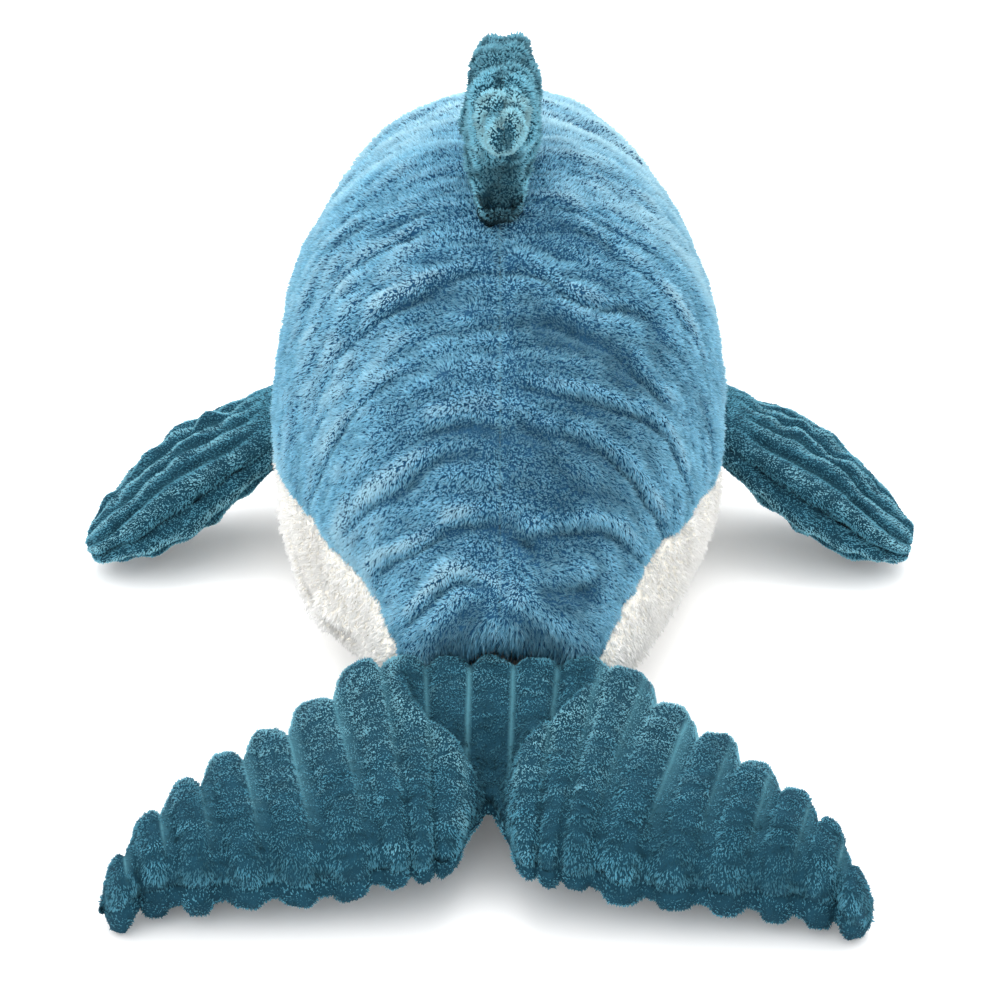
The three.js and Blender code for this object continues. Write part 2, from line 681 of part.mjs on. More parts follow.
const eyeHoles = [];
const washerPockets = [];
for (const [word, side] of [["left", -1], ["right", 1]]) {
  const { seat, outward } = skinSeat(bodyFrontY - eyeSetback, eyeAngle, side);
  const place = new THREE.Group();
  place.position.copy(seat);
  place.quaternion.setFromUnitVectors(point(0, 1, 0), outward);
  addPiece(place, `eye_${word}`, turned(eyeProfile), eyePlastic());
  addPiece(place, `eye_washer_${word}`, turned(washerProfile), washerPlastic());
  place.updateMatrixWorld(true);
  dolphin.add(place);
  const hole = new THREE.CylinderGeometry(eyeHoleRadius, eyeHoleRadius, eyeHoleLength, eyeFacets);
  eyeHoles.push(hole.applyMatrix4(place.matrixWorld));
  const pocketRadius = washerRadius + fitGap;
  const pocketDepth = shankLength + fitGap;
  const pocket = new THREE.CylinderGeometry(pocketRadius, pocketRadius, pocketDepth, eyeFacets);
  pocket.translate(0, -pocketDepth / 2, 0);
  washerPockets.push(pocket.applyMatrix4(place.matrixWorld));
}

// Body panels and filling, cut for the roots, the eyes and the surface below
for (const [word, side, eye] of [["left", -1, 0], ["right", 1, 1]]) {
  const panel = panelBetween(backRows(side, 0), backRows(side, furThickness));
  const cutters = [flukeGroove, dorsalGroove, flipperGrooves[eye], eyeHoles[eye]];
  addPiece(dolphin, `back_${word}_panel`, cut(panel, ...cutters), backFur());
}
const bellySheet = panelBetween(bellyRows(0), bellyRows(furThickness));
const belly = cut(bellySheet, flukeGroove, ...flipperGrooves, belowFloor);
addPiece(dolphin, "belly_panel", belly, bellyFur());
const core = solidThrough(bodyRings(furThickness + fitGap + fillingSlack, bodyFillingFacets));
const coreCutters = [flukeGroove, dorsalGroove, ...flipperGrooves, ...washerPockets];
addPiece(dolphin, "body_filling", cut(core, ...coreCutters), filling());

// Beak, seated on the front of the head
function beakStations() {
  return steps(beakRingCount).map((s) => {
    const closing = Math.sqrt(Math.max(0, 1 - s ** beakBlunt));
    return {
      centre: point(0, bodyFrontY - beakSeatDepth + beakLength * s, noseZ - beakDrop * s),
      chord: point(1, 0, 0),
      normal: point(0, 0, 1),
      ahead: beakHalfWidth * closing,
      behind: beakHalfWidth * closing,
      thick: beakHalfHeight * closing,
      roundness: 2,
      rib: () => 0,
    };
  });
}

const headSeat = solidThrough(bodyRings(-fitGap, 4 * backFacets));
const beakRings = beakStations();
const beakAngles = evenAngles(beakFacets);
const beakUpper = cut(finPanel(beakRings, beakAngles, 1), headSeat);
const beakLower = cut(finPanel(beakRings, beakAngles, -1), headSeat);
const beakCore = cut(finFilling(beakRings, beakAngles), headSeat);
addPiece(dolphin, "beak_upper_panel", beakUpper, backFur());
addPiece(dolphin, "beak_lower_panel", beakLower, bellyFur());
addPiece(dolphin, "beak_filling", beakCore, filling());

export default dolphin;
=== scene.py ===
"""The looks of a plush dolphin: fur cloth body, ribbed velour fins and plastic eyes on a white floor.

Metres. +Y runs from tail to head, +Z is up, and z = 0 is the surface that the toy lies on.
"""
from __future__ import annotations

import json
import logging
import math
from dataclasses import dataclass, field, replace
from enum import Enum

import bmesh
import bpy
import numpy as np
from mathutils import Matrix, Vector

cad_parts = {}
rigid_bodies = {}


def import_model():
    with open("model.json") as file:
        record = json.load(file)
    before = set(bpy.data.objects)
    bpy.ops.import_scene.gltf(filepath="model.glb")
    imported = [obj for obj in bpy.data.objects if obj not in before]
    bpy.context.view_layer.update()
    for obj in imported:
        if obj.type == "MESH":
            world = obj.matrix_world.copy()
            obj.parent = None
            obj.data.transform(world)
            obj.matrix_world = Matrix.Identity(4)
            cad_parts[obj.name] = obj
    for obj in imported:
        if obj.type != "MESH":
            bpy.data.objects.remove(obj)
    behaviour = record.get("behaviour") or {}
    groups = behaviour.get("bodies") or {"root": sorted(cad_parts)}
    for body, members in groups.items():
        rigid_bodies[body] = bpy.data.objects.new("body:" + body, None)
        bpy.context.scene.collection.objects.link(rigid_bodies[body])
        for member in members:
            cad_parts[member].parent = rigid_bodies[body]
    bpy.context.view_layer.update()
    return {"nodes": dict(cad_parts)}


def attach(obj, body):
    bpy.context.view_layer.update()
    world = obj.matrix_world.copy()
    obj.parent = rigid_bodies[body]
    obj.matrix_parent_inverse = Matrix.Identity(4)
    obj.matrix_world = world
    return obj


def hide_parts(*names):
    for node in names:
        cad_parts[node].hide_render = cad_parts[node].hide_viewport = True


log = logging.getLogger("plush_dolphin")

MM = 0.001
BAKE_MAP = "OFBake"
WELD = 1e-6

Array = np.ndarray
Piece = bpy.types.Object
Socket = bpy.types.NodeSocket
Number = float | Array
Colour = tuple[float, float, float, float]
Value = float | tuple | Socket | bpy.types.Material


class Side(Enum):
    """The two sides of the toy, as the sign of X."""

    LEFT = -1
    RIGHT = 1

    @property
    def word(self) -> str:
        """The side's name as the nodes spell it."""
        return self.name.lower()


def lerp(low: Number, high: Number, share: Number) -> Number:
    """Returns the value a share of the way from low to high."""
    return low + (high - low) * share


def smoothstep(value: Number, low: float, high: float) -> Number:
    """Returns an eased 0 to 1 as value goes from low to high."""
    share = np.clip((value - low) / (high - low), 0.0, 1.0)
    return share * share * (3.0 - 2.0 * share)


def bump(value: Number, middle: float, reach: float) -> Number:
    """Returns a bell of height 1 about the middle, which fades over the reach."""
    return np.exp(-(((value - middle) / reach) ** 2))


def signed_power(value: Number, power: Number) -> Number:
    """Returns value to the power with its sign kept."""
    return np.sign(value) * np.abs(value) ** power


def unit(vectors: Array) -> Array:
    """Returns vectors at length 1, and zero vectors as they are."""
    lengths = np.linalg.norm(vectors, axis=-1, keepdims=True)
    return vectors / np.maximum(lengths, 1e-12)


def closing(share: Number, power: float) -> Number:
    """Returns how full a form still is that rounds off to nothing at share 1."""
    return np.sqrt(np.maximum(0, 1 - share**power))


def turn_pair(first: Array, second: Array, degrees: float) -> tuple[Array, Array]:
    """Returns two coordinates turned about their origin, the first towards the second."""
    cosine, sine = math.cos(math.radians(degrees)), math.sin(math.radians(degrees))
    return first * cosine - second * sine, first * sine + second * cosine


class Waves:
    """A smooth random field in space: seeded plane waves of many directions, added up."""

    COUNT = 32

    def __init__(self, seed: int, shortest: float, longest: float, squeeze: tuple = (1, 1, 1)) -> None:
        """Draws the waves.

        Args:
            seed: what the random numbers start from.
            shortest: least wavelength.
            longest: greatest wavelength.
            squeeze: how much shorter the waves are along X, Y and Z.
        """
        random = np.random.default_rng(seed)
        headings = unit(random.normal(size=(self.COUNT, 3)))
        lengths = shortest * (longest / shortest) ** random.random(self.COUNT)
        self.vectors = headings * (2 * np.pi / lengths)[:, None] * np.array(squeeze)
        self.phases = random.random(self.COUNT) * 2 * np.pi

    def at(self, points: Array) -> Array:
        """Returns the field at the points, about -1 to 1."""
        return math.sqrt(2.0 / self.COUNT) * np.sin(points @ self.vectors.T + self.phases).sum(-1)

    def swells(self, points: Array) -> Array:
        """Returns rounded swells from 0 to 1 with narrow valleys between them."""
        return np.minimum(1.0, np.abs(self.at(points)) * 1.3)


# Cloth panels


@dataclass
class Cloth:
    """A sheet of points in rows, and what its pile needs to know."""

    points: Array
    nap: Array
    pile: Array
    valley: Array
    tone: Array

    @staticmethod
    def of(points: Array, nap: Array, pile: Number = 1, valley: Number = 0, tone: Number = 0) -> Cloth:
        """Makes a cloth, with single values spread over its points.

        Args:
            points: rows of points on the outer face.
            nap: the direction in which the pile lies, at each point.
            pile: the length of the pile, as a share.
            valley: 1 where the backing shows its paler valleys.
            tone: above 0 where the pile is paler, below 0 where it is darker; it holds painted light and
                shade as well as colour that differs at random.

        Returns:
            The cloth.
        """
        values = (np.asarray(value, float) for value in (pile, valley, tone))
        shares = (np.broadcast_to(value, points.shape[:2]).copy() for value in values)
        return Cloth(points, np.broadcast_to(nap, points.shape).copy(), *shares)


def grid_faces(rows: int, columns: int, start: int = 0, flipped: bool = False) -> Array:
    """Makes the quads between rows of points.

    Args:
        rows: how many rows there are.
        columns: how many points each row has.
        start: the number of the first point.
        flipped: whether the quads face the other way.

    Returns:
        The numbers of each quad's corners.
    """
    number = start + np.arange(rows * columns).reshape(rows, columns)
    corners = [number[:-1, :-1], number[:-1, 1:], number[1:, 1:], number[1:, :-1]]
    quads = np.stack(corners, -1).reshape(-1, 4)
    return quads[:, ::-1] if flipped else quads


def rim_faces(rows: int, columns: int) -> Array:
    """Makes the quads that join the borders of two sheets, the second numbered after the first.

    Args:
        rows: how many rows each sheet has.
        columns: how many points each row has.

    Returns:
        The numbers of each quad's corners.
    """
    count = rows * columns
    number = np.arange(count).reshape(rows, columns)
    border = np.concatenate([number[0, :-1], number[:-1, -1], number[-1, :0:-1], number[:0:-1, 0]])
    after = np.roll(border, -1)
    return np.stack([after, border, border + count, after + count], -1)


def link_object(made: Piece) -> Piece:
    """Puts an object into the scene and returns it."""
    bpy.context.scene.collection.objects.link(made)
    return made


def new_object(name: str, vertices: Array, faces: list) -> Piece:
    """Makes an object with a smooth mesh and puts it into the scene.

    Args:
        name: the name of the object and its mesh.
        vertices: the points.
        faces: the numbers of each face's corners.

    Returns:
        The object.
    """
    mesh = bpy.data.meshes.new(name)
    mesh.from_pydata(vertices.tolist(), [], faces)
    mesh.update()
    mesh.shade_smooth()
    return link_object(bpy.data.objects.new(name, mesh))


def tidy_mesh(piece: Piece) -> None:
    """Merges doubled points, drops empty faces and turns the rest outwards.

    Args:
        piece: the piece, whose mesh changes.
    """
    work = bmesh.new()
    work.from_mesh(piece.data)
    bmesh.ops.remove_doubles(work, verts=work.verts, dist=WELD)
    bmesh.ops.dissolve_degenerate(work, edges=work.edges, dist=WELD)
    bmesh.ops.recalc_face_normals(work, faces=work.faces)
    work.to_mesh(piece.data)
    work.free()
    piece.data.shade_smooth()


def sewn_panel(name: str, cloth: Cloth, inner: Array) -> Piece:
    """Makes a closed panel of cloth with its pile's values on the outer face.

    Args:
        name: the piece's name.
        cloth: the outer face.
        inner: the points of the inner face, in the same rows.

    Returns:
        The piece, without a finish.
    """
    rows, columns = cloth.points.shape[:2]
    count = rows * columns
    faces = np.concatenate([
        grid_faces(rows, columns),
        grid_faces(rows, columns, count, flipped=True),
        rim_faces(rows, columns),
    ])
    points = np.concatenate([cloth.points.reshape(-1, 3), inner.reshape(-1, 3)])
    panel = new_object(name, points, faces.tolist())
    for key in ("pile", "valley", "tone"):
        values = np.concatenate([getattr(cloth, key).ravel(), np.zeros(count)])
        layer = panel.data.attributes.new(key, "FLOAT", "POINT")
        layer.data.foreach_set("value", values.astype(np.float32))
    naps = np.concatenate([cloth.nap.reshape(-1, 3), np.zeros((count, 3))])
    layer = panel.data.attributes.new("nap", "FLOAT_VECTOR", "POINT")
    layer.data.foreach_set("vector", naps.astype(np.float32).ravel())
    tidy_mesh(panel)
    return panel


def dress(piece: Piece, finish: bpy.types.Material, body: str, slot: str, *nodes: str) -> Piece:
    """Gives a piece its finish and its body, and hides the solids that it stands for.

    Args:
        piece: the piece.
        finish: its material.
        body: the body that it moves with.
        slot: the record's slot that it takes its finish from; not used.
        nodes: the solids that it stands for.

    Returns:
        The piece.
    """
    piece.data.materials.clear()
    piece.data.materials.append(finish)
    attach(piece, body)
    if nodes:
        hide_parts(*nodes)
    return piece


def stuffing(name: str, rings: Array, body: str, node: str) -> Piece:
    """Makes a closed fibre filling, drawn together at both ends.

    Args:
        name: the piece's name.
        rings: rings of points, one after the other.
        body: the body that it moves with.
        node: the solid that it stands for.

    Returns:
        The piece.
    """
    ends = [np.repeat(ring.mean(1, keepdims=True), rings.shape[1], 1) for ring in (rings[:1], rings[-1:])]
    closed = np.concatenate([ends[0], rings, ends[1]])
    closed = np.concatenate([closed, closed[:, :1]], 1)
    piece = new_object(name, closed.reshape(-1, 3), grid_faces(*closed.shape[:2]).tolist())
    for key in ("valley", "tone"):
        piece.data.attributes.new(key, "FLOAT", "POINT")
    tidy_mesh(piece)
    dress(piece, FIBRE.material(), body, "filling", node)
    return piece


# Node trees


class Nodes:
    """Adds nodes to one tree, and links or sets what they take."""

    def __init__(self, tree: bpy.types.NodeTree) -> None:
        """Keeps the tree."""
        self.tree = tree

    def feed(self, socket: Socket, value: Value) -> None:
        """Links another node's output to a socket, or sets a plain value on it.

        Args:
            socket: the input that takes it.
            value: the other node's output, or the value.
        """
        if isinstance(value, Socket):
            self.tree.links.new(value, socket)
        else:
            socket.default_value = value

    def add(self, kind: str, inputs: dict | None = None, **settings: object) -> bpy.types.Node:
        """Adds a node.

        Args:
            kind: what sort of node it is.
            inputs: what its sockets take, each a value or another node's output.
            settings: the node's own settings.

        Returns:
            The node.
        """
        node = self.tree.nodes.new(kind)
        for key, value in settings.items():
            setattr(node, key, value)
        for key, value in (inputs or {}).items():
            self.feed(node.inputs[key], value)
        return node

    def math(self, operation: str, first: Value, second: Value = 0.0) -> Socket:
        """Returns the result of a sum on two numbers."""
        return self.add("ShaderNodeMath", {0: first, 1: second}, operation=operation).outputs[0]

    def times(self, first: Value, second: Value) -> Socket:
        """Returns the product of two numbers."""
        return self.math("MULTIPLY", first, second)

    def vector(self, operation: str, first: Value, second: Value) -> Socket:
        """Returns the result of a sum on a vector and a vector or, to scale it, a number."""
        inputs = {0: first, "Scale" if operation == "SCALE" else 1: second}
        return self.add("ShaderNodeVectorMath", inputs, operation=operation).outputs["Vector"]

    def mix(self, share: Value, first: Value, second: Value) -> Socket:
        """Returns a blend of two colours."""
        return self.add("ShaderNodeMix", {0: share, 6: first, 7: second}, data_type="RGBA").outputs[2]

    def spread(self, value: Value, low: float, high: float, first: float = 0, last: float = 1) -> Socket:
        """Returns a value that went from low to high as one that goes from first to last."""
        sockets = ("Value", "From Min", "From Max", "To Min", "To Max")
        return self.add("ShaderNodeMapRange", dict(zip(sockets, (value, low, high, first, last)))).outputs[0]

    def attribute(self, name: str) -> Socket:
        """Returns the number that a mesh attribute holds."""
        return self.add("ShaderNodeAttribute", attribute_name=name).outputs["Fac"]

    def patches(self, size: float, low: float, high: float, stretch: tuple = (1, 1, 1)) -> Socket:
        """Makes a patchy 0 to 1 on object coordinates.

        Args:
            size: about how large the patches are.
            low: the noise that counts as 0.
            high: the noise that counts as 1.
            stretch: how much smaller they are along X, Y and Z.

        Returns:
            The output that holds it.
        """
        place = self.add("ShaderNodeTexCoord").outputs["Object"]
        scaled = self.add("ShaderNodeMapping", {"Vector": place, "Scale": stretch}).outputs[0]
        noise = self.add("ShaderNodeTexNoise", {"Vector": scaled, "Scale": 1 / size, "Detail": 3.0})
        return self.spread(noise.outputs["Fac"], low, high)


# Pile


@dataclass(frozen=True)
class Pile:
    """How the fibres of one cloth stand."""

    length: float
    width: float
    tufts_per_mm2: float
    lean: float
    swirl: float
    swirl_size: float
    clump_size: float
    clump_pull: float
    wildness: float
    seed: int


class PileTree:
    """Geometry Nodes tree that grows pointed tufts all over a cloth, and makes them real."""

    SINK = 0.4 * MM
    SIDES = 3
    LEAST_PILE = 0.02
    WIDTHS = (0.35, 0.65)
    LENGTHS = (0.7, 1.15)
    PATCH_LENGTHS = (0.6, 1.3)
    PATCH_STRETCH = (0.6, 1.6, 1.0)
    PATCH_SCALE = 0.35 / MM
    MAP_MARGIN = 0.07
    INPUTS = ("Density", "Length", "Width", "Lean", "Swirl", "Swirl Scale", "Clump Scale", "Clump Pull",
              "Wildness")

    def __init__(self) -> None:
        """Builds the tree once, for every piece that wears pile."""
        self.tree = bpy.data.node_groups.new("pile", "GeometryNodeTree")
        self.nodes = Nodes(self.tree)
        kinds = {"Geometry": "Geometry", **{name: "Float" for name in self.INPUTS}}
        kinds |= {"Seed": "Int", "Finish": "Material"}
        self.sockets = {
            name: self.tree.interface.new_socket(
                name=name, in_out="INPUT", socket_type=f"NodeSocket{kind}").identifier
            for name, kind in kinds.items()
        }
        self.tree.interface.new_socket(name="Geometry", in_out="OUTPUT", socket_type="NodeSocketGeometry")
        self._grow()

    def _read(self, name: str, kind: str) -> Socket:
        """Returns a named attribute of the cloth."""
        return self.nodes.add("GeometryNodeInputNamedAttribute", {"Name": name}, data_type=kind).outputs[0]

    def _random(self, low: float, high: float, seed: Value, offset: int) -> Socket:
        """Returns a random number for each tuft, from a seed of its own."""
        inputs = {2: low, 3: high, "Seed": self.nodes.math("ADD", seed, float(offset))}
        return self.nodes.add("FunctionNodeRandomValue", inputs, data_type="FLOAT").outputs[1]

    def _random_heading(self, seed: Value, offset: int) -> Socket:
        """Returns a random vector for each tuft, each part from -1 to 1."""
        inputs = {"Min": (-1, -1, -1), "Max": (1, 1, 1), "Seed": self.nodes.math("ADD", seed, float(offset))}
        return self.nodes.add("FunctionNodeRandomValue", inputs, data_type="FLOAT_VECTOR").outputs[0]

    def _store(self, geometry: Value, name: str, value: Value, domain: str) -> Socket:
        """Returns the geometry with a number stored on it under a name."""
        inputs = {"Geometry": geometry, "Name": name, "Value": value}
        return self.nodes.add(
            "GeometryNodeStoreNamedAttribute", inputs, data_type="FLOAT", domain=domain).outputs["Geometry"]

    def _tuft(self) -> Socket:
        """Makes one pointed tuft of height 1 with its tip marked.

        Returns:
            The output that holds its mesh.
        """
        sizes = {"Vertices": self.SIDES, "Radius Bottom": 1.0, "Radius Top": 0.0, "Depth": 1.0}
        cone = self.nodes.add("GeometryNodeMeshCone", sizes, fill_type="NONE")
        place = self.nodes.add("GeometryNodeInputPosition").outputs[0]
        height = self.nodes.add("ShaderNodeSeparateXYZ", {0: place}).outputs["Z"]
        marked = self._store(cone.outputs["Mesh"], "tip", height, "POINT")
        return self.nodes.add("GeometryNodeSetShadeSmooth", {"Geometry": marked}).outputs["Geometry"]

    def _heading(self, given: dict, normal: Value, place: Value) -> Socket:
        """Works out the direction of each tuft: off the cloth, with its nap, whirls, clumps and strays.

        Args:
            given: the tree's inputs.
            normal: the direction straight off the cloth.
            place: where each tuft stands.

        Returns:
            The output that holds the direction.
        """
        nodes, seed = self.nodes, given["Seed"]
        noise = nodes.add(
            "ShaderNodeTexNoise", {"Vector": place, "Scale": given["Swirl Scale"], "Detail": 1.0})
        whirl = nodes.vector("SUBTRACT", noise.outputs["Color"], (0.5, 0.5, 0.5))
        cells = nodes.add("ShaderNodeTexVoronoi", {"Vector": place, "Scale": given["Clump Scale"]})
        to_middle = nodes.vector("SUBTRACT", cells.outputs["Position"], place)
        pull = nodes.times(given["Clump Pull"], given["Clump Scale"])
        parts = (
            (self._read("nap", "FLOAT_VECTOR"), given["Lean"]),
            (whirl, given["Swirl"]),
            (to_middle, pull),
            (self._random_heading(seed, 1), given["Wildness"]),
        )
        heading = normal
        for direction, weight in parts:
            heading = nodes.vector("ADD", heading, nodes.vector("SCALE", direction, weight))
        return heading

    def _grow(self) -> None:
        """Links the nodes: points on the cloth, a direction and a size for each, tufts, real mesh."""
        nodes = self.nodes
        given = nodes.add("NodeGroupInput").outputs
        seed = given["Seed"]
        pile = self._read("pile", "FLOAT")
        long_enough = nodes.math("GREATER_THAN", pile, self.LEAST_PILE)
        rooted = nodes.times(self._read("grown", "FLOAT"), long_enough)
        density = nodes.times(given["Density"], rooted)
        spread = nodes.add(
            "GeometryNodeDistributePointsOnFaces",
            {"Mesh": given["Geometry"], "Density": density, "Seed": seed}, distribute_method="RANDOM")
        normal = spread.outputs["Normal"]
        place = nodes.add("GeometryNodeInputPosition").outputs[0]
        axes = {
            "Primary Axis": self._heading(given, normal, place),
            "Secondary Axis": self._random_heading(seed, 2),
        }
        turn = nodes.add(
            "FunctionNodeAxesToRotation", axes, primary_axis="Z", secondary_axis="X").outputs[0]
        offset = nodes.vector("SCALE", normal, -self.SINK)
        sunk = nodes.add(
            "GeometryNodeSetPosition", {"Geometry": spread.outputs["Points"], "Offset": offset}).outputs[0]
        width = nodes.times(given["Width"], self._random(*self.WIDTHS, seed, 3))
        length = nodes.times(given["Length"], self._random(*self.LENGTHS, seed, 4))
        stretched = nodes.vector("MULTIPLY", place, self.PATCH_STRETCH)
        patchy = nodes.add(
            "ShaderNodeTexNoise", {"Vector": stretched, "Scale": self.PATCH_SCALE, "Detail": 2.0})
        uneven = nodes.spread(patchy.outputs["Fac"], 0.3, 0.7, *self.PATCH_LENGTHS)
        length = nodes.times(nodes.times(length, uneven), pile)
        size = nodes.add("ShaderNodeCombineXYZ", {"X": width, "Y": width, "Z": length}).outputs[0]
        planted = nodes.add(
            "GeometryNodeInstanceOnPoints",
            {"Points": sunk, "Instance": self._tuft(), "Rotation": turn, "Scale": size})
        shaded = self._store(planted.outputs["Instances"], "shade", self._random(0, 1, seed, 5), "INSTANCE")
        real = nodes.add("GeometryNodeRealizeInstances", {"Geometry": shaded}).outputs["Geometry"]
        dressed = nodes.add("GeometryNodeSetMaterial", {"Geometry": real, "Material": given["Finish"]})
        nodes.add("NodeGroupOutput", {"Geometry": dressed.outputs["Geometry"]})

    def grow(self, name: str, cloth: Piece, fabric: Fabric, body: str) -> Piece:
        """Grows the pile of one cloth.

        Args:
            name: the new piece's name.
            cloth: the panel that it grows on, which stays as it is.
            fabric: what the panel is made of.
            body: the body that it moves with.

        Returns:
            The piece, as a plain mesh with a map for each tuft.
        """
        piece = link_object(bpy.data.objects.new(name, cloth.data.copy()))
        modifier = piece.modifiers.new("pile", "NODES")
        modifier.node_group = self.tree
        pile = fabric.pile
        numbers = (pile.tufts_per_mm2 / MM**2, pile.length, pile.width, pile.lean, pile.swirl,
                   1 / pile.swirl_size, 1 / pile.clump_size, pile.clump_pull, pile.wildness)
        values = dict(zip(self.INPUTS, numbers))
        values |= {"Seed": pile.seed + len(name), "Finish": fabric.fibres.material()}
        for key, value in values.items():
            modifier[self.sockets[key]] = value
        seen = piece.evaluated_get(bpy.context.evaluated_depsgraph_get())
        mesh = bpy.data.meshes.new_from_object(seen)
        piece.modifiers.clear()
        piece.data = mesh
        mesh.name = name
        self._lay_out(mesh)
        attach(piece, body)
        return piece

    def _lay_out(self, mesh: bpy.types.Mesh) -> None:
        """Gives each tuft a cell of its own on the map, with its sides next to each other.

        Args:
            mesh: the tufts' mesh, which takes the map.
        """
        tufts = len(mesh.polygons) // self.SIDES
        across = math.ceil(math.sqrt(tufts))
        side = np.arange(self.SIDES)[:, None]
        corner_u = (side + np.array([0.0, 1.0, 0.5])) / self.SIDES
        corner_v = np.broadcast_to(np.array([0.0, 0.0, 1.0]), corner_u.shape)
        local = np.stack([corner_u, corner_v], -1) * (1 - 2 * self.MAP_MARGIN) + self.MAP_MARGIN
        cell = np.stack([np.arange(tufts) % across, np.arange(tufts) // across], -1)
        places = (cell[:, None, None, :] + local[None]) / across
        layer = mesh.uv_layers.new(name=BAKE_MAP)
        layer.uv.foreach_set("vector", places.astype(np.float32).ravel())


# Finishes


def linear(red: int, green: int, blue: int) -> Colour:
    """Turns a colour as a screen shows it into linear light.

    Args:
        red: its red, from 0 to 255.
        green: its green.
        blue: its blue.

    Returns:
        The colour in linear light, opaque.
    """
    shares = np.array([red, green, blue]) / 255.0
    light = np.where(shares <= 0.04045, shares / 12.92, ((shares + 0.055) / 1.055) ** 2.4)
    return (*light.tolist(), 1.0)


@dataclass(frozen=True)
class Finish:
    """A finish with a name, whose material is made once."""

    name: str

    def material(self) -> bpy.types.Material:
        """Finds the finish's material, and makes it at its first use.

        Returns:
            The material.
        """
        name = f"{self.name}_look"
        known = bpy.data.materials.get(name)
        if known:
            return known
        material = bpy.data.materials.new(name)
        material.use_nodes = True
        self.link(Nodes(material.node_tree), material.node_tree.nodes["Principled BSDF"].inputs)
        return material

    def link(self, nodes: Nodes, shader: bpy.types.NodeInputs) -> None:
        """Links the finish's nodes to the main shader's sockets."""
        raise NotImplementedError


@dataclass(frozen=True)
class PileFinish(Finish):
    """Dyed fibres, painted darker towards the root as shade between the tufts and lighter at the tip, no two
    tufts quite alike.
    """

    root: Colour
    middle: Colour
    tip: Colour
    pale: Colour
    shade: float = 0.35
    patch_size: float = 14 * MM
    patch_depth: float = 0.3
    tick_size: float = 5 * MM
    tick_stretch: tuple = (1, 1, 1)
    tick_depth: float = 0.0
    # Colour and strength of the painted shade that tone below 0 mixes in.
    deep_share: float = 0.3
    deepening: float = 0.65
    roughness: float = 0.75
    gloss: float = 0.03

    def link(self, nodes: Nodes, shader: bpy.types.NodeInputs) -> None:
        """Links the colours, which read the tufts' tip, shade and tone, and paint light and shade from the
        last.

        Args:
            nodes: the material's nodes.
            shader: the main shader's sockets.
        """
        # Painted shade between the tufts: each tuft runs from the dark root colour to the light tip colour.
        along = nodes.add("ShaderNodeValToRGB", {"Fac": nodes.attribute("tip")})
        ramp = along.color_ramp.elements
        ramp[0].position, ramp[0].color = 0.12, self.root
        ramp[1].position, ramp[1].color = 1.0, self.tip
        ramp.new(0.5).color = self.middle
        shade = nodes.attribute("shade")
        dark = nodes.mix(nodes.spread(shade, 0.5, 0, 0, self.shade), along.outputs["Color"], self.root)
        varied = nodes.mix(nodes.spread(shade, 0.6, 1, 0, 0.5 * self.shade), dark, self.pale)
        cloud = nodes.times(nodes.patches(self.patch_size, 0.45, 0.75), self.patch_depth)
        clouded = nodes.mix(cloud, varied, self.tip)
        ticks = nodes.patches(self.tick_size, 0.48, 0.66, self.tick_stretch)
        ticked = nodes.mix(nodes.times(ticks, self.tick_depth), clouded, self.root)
        # Below 0 the tone mixes in a darker colour as painted shade; above 0 it mixes in the pale colour as
        # painted light, besides some random tone.
        tone = nodes.attribute("tone")
        deep = tuple(self.deep_share * part for part in self.root[:3]) + (1.0,)
        depth = nodes.math("MAXIMUM", nodes.times(tone, -self.deepening), 0.0)
        darker = nodes.mix(depth, ticked, deep)
        nodes.feed(shader["Base Color"], nodes.mix(nodes.math("MAXIMUM", tone, 0.0), darker, self.pale))
        shader["Roughness"].default_value = self.roughness
        shader["Specular IOR Level"].default_value = self.gloss


@dataclass(frozen=True)
class ClothFinish(Finish):
    """The knitted backing that shows between the tufts and along the valleys of the ribs."""

    ground: Colour
    pale: Colour
    stitch_size: float = 0.7 * MM

    def link(self, nodes: Nodes, shader: bpy.types.NodeInputs) -> None:
        """Links the knit, its mottled colour and the paler valleys of the ribs.

        Args:
            nodes: the material's nodes.
            shader: the main shader's sockets.
        """
        darker = tuple(0.7 * part for part in self.ground)
        mottled = nodes.mix(nodes.patches(3 * MM, 0.35, 0.7), self.ground, darker)
        nodes.feed(shader["Base Color"], nodes.mix(nodes.attribute("valley"), mottled, self.pale))
        shader["Roughness"].default_value = 0.95
        shader["Specular IOR Level"].default_value = 0.1
        place = nodes.add("ShaderNodeTexCoord").outputs["Object"]
        knit = nodes.add("ShaderNodeTexVoronoi", {"Vector": place, "Scale": 1 / self.stitch_size})
        relief = {"Strength": 0.6, "Distance": 0.2 * MM, "Height": knit.outputs["Distance"]}
        nodes.feed(shader["Normal"], nodes.add("ShaderNodeBump", relief).outputs["Normal"])


@dataclass(frozen=True)
class PlasticFinish(Finish):
    """Moulded plastic with faint flow marks and dust."""

    colour: Colour
    worn: Colour
    roughness: float
    coat: float = 0.0

    def link(self, nodes: Nodes, shader: bpy.types.NodeInputs) -> None:
        """Links the clouded colour and the uneven gloss.

        Args:
            nodes: the material's nodes.
            shader: the main shader's sockets.
        """
        nodes.feed(shader["Base Color"], nodes.mix(nodes.patches(4 * MM, 0.4, 0.8), self.colour, self.worn))
        gloss = nodes.spread(nodes.patches(2 * MM, 0.3, 0.7), 0, 1, self.roughness, self.roughness + 0.12)
        nodes.feed(shader["Roughness"], gloss)
        shader["Coat Weight"].default_value = self.coat


